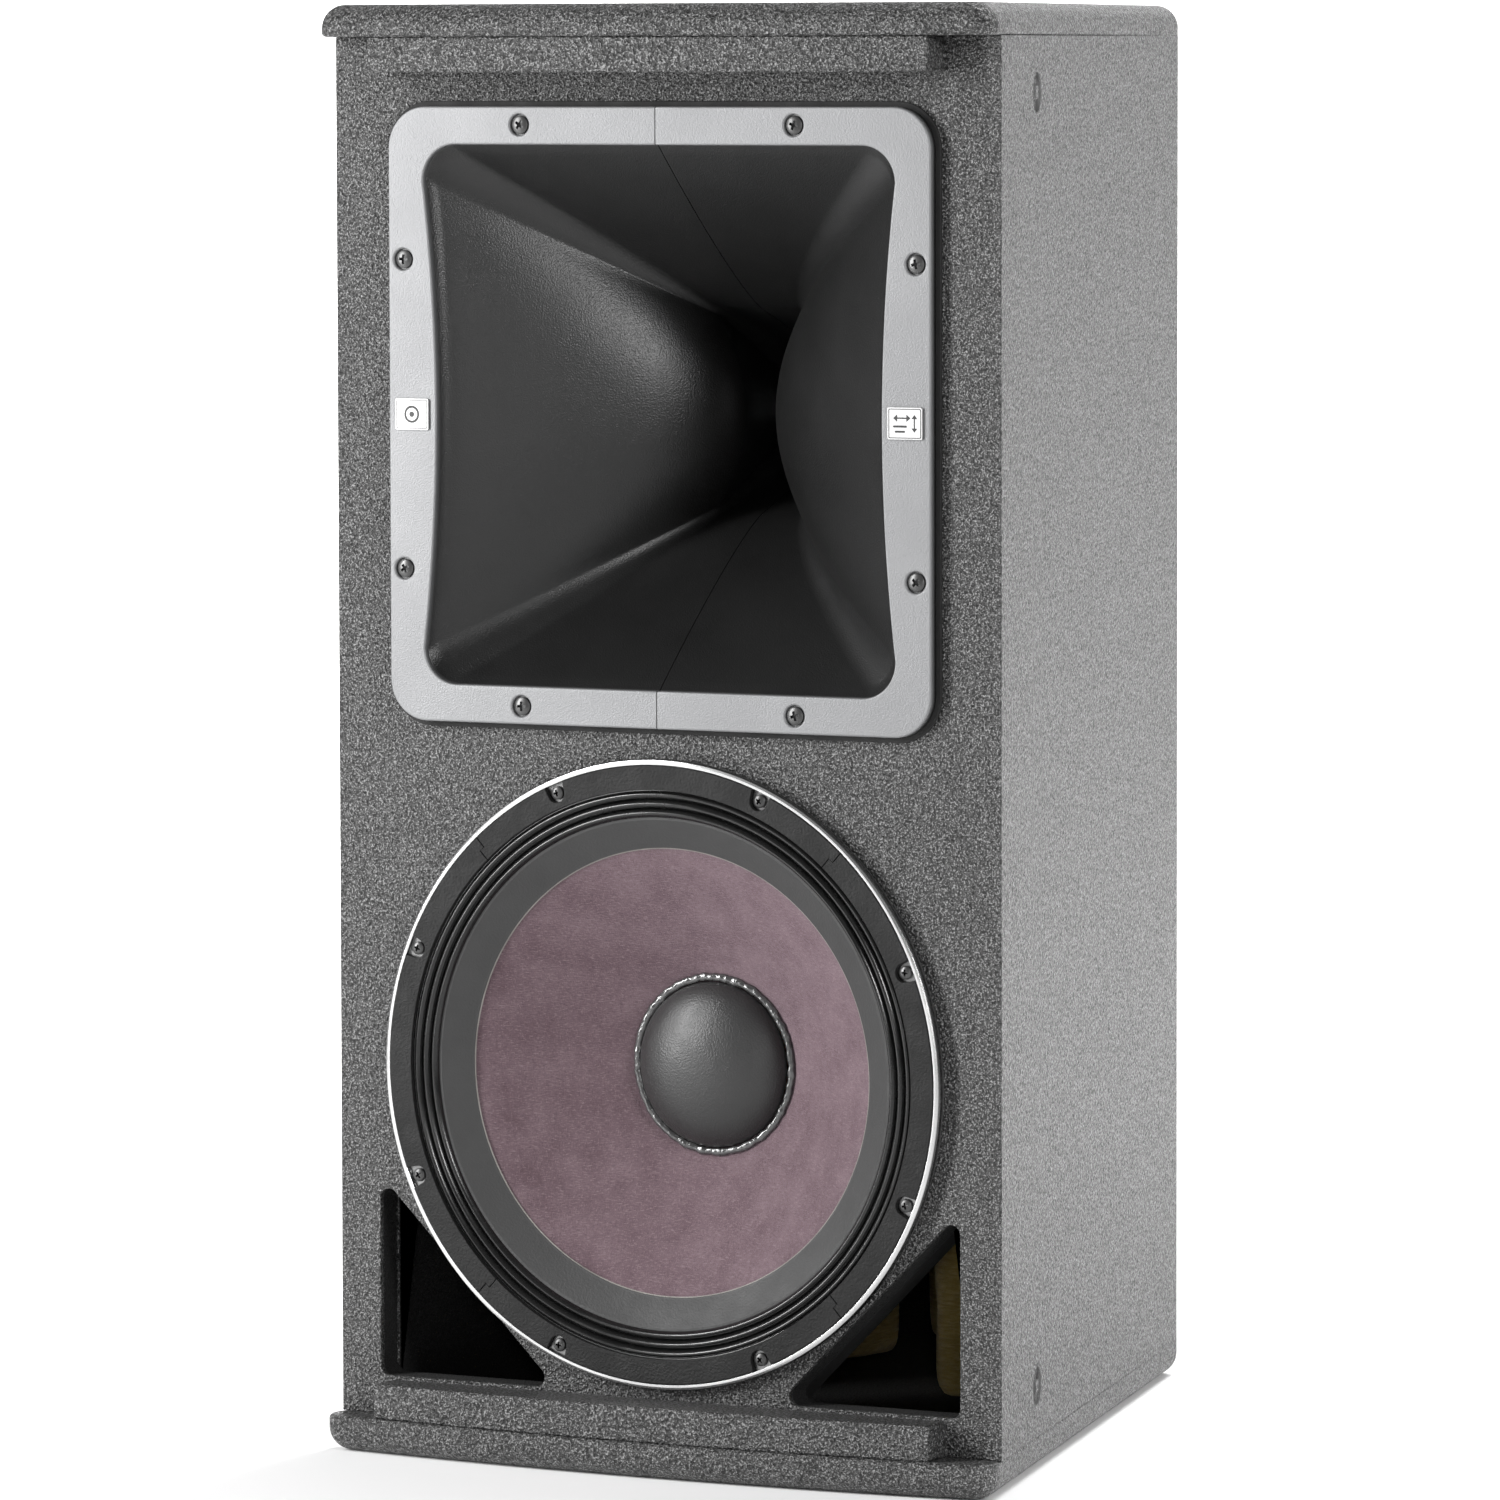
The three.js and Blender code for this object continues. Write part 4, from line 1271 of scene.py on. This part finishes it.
def make_damping():
    """Thin slabs on the walls, doubled up near the floor behind the ports."""
    floor_z, low_top, full_top = 19.5, 105, 690
    for name, front, rear, thick, top in (
        ("damping_", 122, 352, 19, full_top),
        ("damping_low_", 180, 316, 61, low_top),
    ):
        for side, sign in (("right", 1), ("left", -1)):
            ends = [(sign * (inside(y) - 1), y) for y in (front, rear)]
            batt(name + side, *ends[::sign], thick, floor_z, top, "damping_" + side)
    back = DEPTH - BOARD - 1
    for name, half, thick, low, high, node in (
        ("damping_back_low", 50, 25, floor_z, 222, "damping_back_low"),
        ("damping_back_floor", 41, 64, floor_z, low_top, "damping_back_low"),
        ("damping_back_high", 50, 25, 378, full_top, "damping_back_high"),
    ):
        batt(name, (half, back), (-half, back), thick, low, high, node)


CARRIED_OVER = {
    "brace_shelf": BARE_BOARD, "port_board_left": PORT_PAINT, "port_board_right": PORT_PAINT,
    "hf_front_plate": ZINC, "hf_magnet": FERRITE, "hf_rear_cover": PLASTIC, "hf_diaphragm": ZINC,
    "voice_coil_former": WIRE, "woofer_top_plate": ZINC, "woofer_magnet": FERRITE,
    "woofer_back_plate": ZINC, "crossover_board": LACQUER, "crossover_coil_low": WIRE,
    "crossover_coil_high": WIRE, "crossover_capacitor_low": PLASTIC,
    "crossover_capacitor_high": PLASTIC,
}


def dress_carried_over():
    """CAD nodes that stay as they are get a procedural finish."""
    for node, look in CARRIED_OVER.items():
        mesh = frame["nodes"][node].data
        mesh.materials.clear()
        mesh.materials.append(look)


# ---- stage


def make_camera():
    """The camera looks at the cabinet from the front right, a little above its middle."""
    azimuth = radians(28.70)
    drop = radians(4.26)
    roll = radians(-0.13)
    distance = 4.649
    aim = Vector((0.0, -0.1141, 0.3491))
    data = bpy.data.cameras.new("camera")
    data.sensor_width = 36
    data.lens = 225
    camera = linked("camera", data)
    turn = Matrix.Rotation(azimuth, 4, "Z") @ Matrix.Rotation(pi / 2 - drop, 4, "X")
    ahead = turn.to_3x3() @ Vector((0, 0, -1))
    place = Matrix.Translation(aim - ahead * distance)
    camera.matrix_world = place @ turn @ Matrix.Rotation(roll, 4, "Z")
    scene.camera = camera


def area_light(name, place, aim, width, height, power, spread=180):
    data = bpy.data.lights.new(name, "AREA")
    data.shape = "RECTANGLE"
    data.size = width
    data.size_y = height
    data.energy = power
    data.spread = radians(spread)
    light = linked(name, data)
    light.location = place
    light.rotation_euler = (Vector(aim) - Vector(place)).to_track_quat("-Z", "Y").to_euler()


def make_lights():
    """Soft lights on the cabinet, washes on the floor behind it, and a dim white world."""
    target = (0, 0, 0.36)
    area_light("strip_left", (-1.15, -1.35, 0.84), target, 0.28, 1.3, 44)
    area_light("low_right", (1.6, 0.76, 0.22), (0, 0, 0.25), 0.6, 0.4, 20)
    area_light("fill_front", (2.1, -3.9, 0.8), target, 0.5, 0.5, 15)
    area_light("glow_right", (2.4, -1.4, 1.4), target, 0.5, 0.5, 33)
    for name, place, aim in (
        ("wash_near", (0.3, 2.1, 2.9), (-0.2, 1.7, 0)),
        ("wash_middle", (-2.2, 2.6, 2.7), (-2.0, 3.6, 0)),
        ("wash_far", (-3.9, 3.6, 2.7), (-3.0, 5.4, 0.2)),
    ):
        area_light(name, place, aim, 1.2, 1.2, 75, 120)
    world = bpy.data.worlds.new("world")
    world.use_nodes = True
    background = world.node_tree.nodes["Background"]
    background.inputs["Color"].default_value = (1, 1, 1, 1)
    background.inputs["Strength"].default_value = 0.16
    scene.world = world
    scene.view_settings.view_transform = "Standard"


def make_stage():
    """A pale floor that curves up into a backdrop behind the object."""
    near, far, r, width, top, sunk = -8.0, 5.6, 1.6, 9.0, 5.0, 0.0002
    profile = [(near, 0.0)]
    for i in range(17):
        a = pi / 2 * i / 16
        profile.append((far - r + r * sin(a), r - r * cos(a)))
    profile.append((far, top))
    points = [(sx * width, y, z - sunk) for y, z in profile for sx in (-1, 1)]
    faces = [[2 * i, 2 * i + 1, 2 * i + 3, 2 * i + 2] for i in range(len(profile) - 1)]
    mesh = bpy.data.meshes.new("stage_floor")
    mesh.from_pydata(points, [], faces)
    mesh.shade_smooth()
    made, shader, place = new_material("pale_floor", Roughness=0.9, Specular_IOR_Level=0.1)
    colour = mix(grain(place, 3, 2), grey(0.93), grey(0.95))
    feed(shader, Base_Color=colour)
    mesh.materials.append(made)
    linked("stage_floor", mesh)


make_camera()
make_end_boards()
make_sides()
make_baffle()
make_back()
make_cleats()
make_suspension_screws()
make_horn()
make_badges()
make_frame()
make_gasket()
make_soft_rings()
make_cone()
make_dust_cap()
make_glue_bead()
make_input_plate()
make_sockets()
make_terminals()
make_damping()
dress_carried_over()
make_stage()
make_lights()
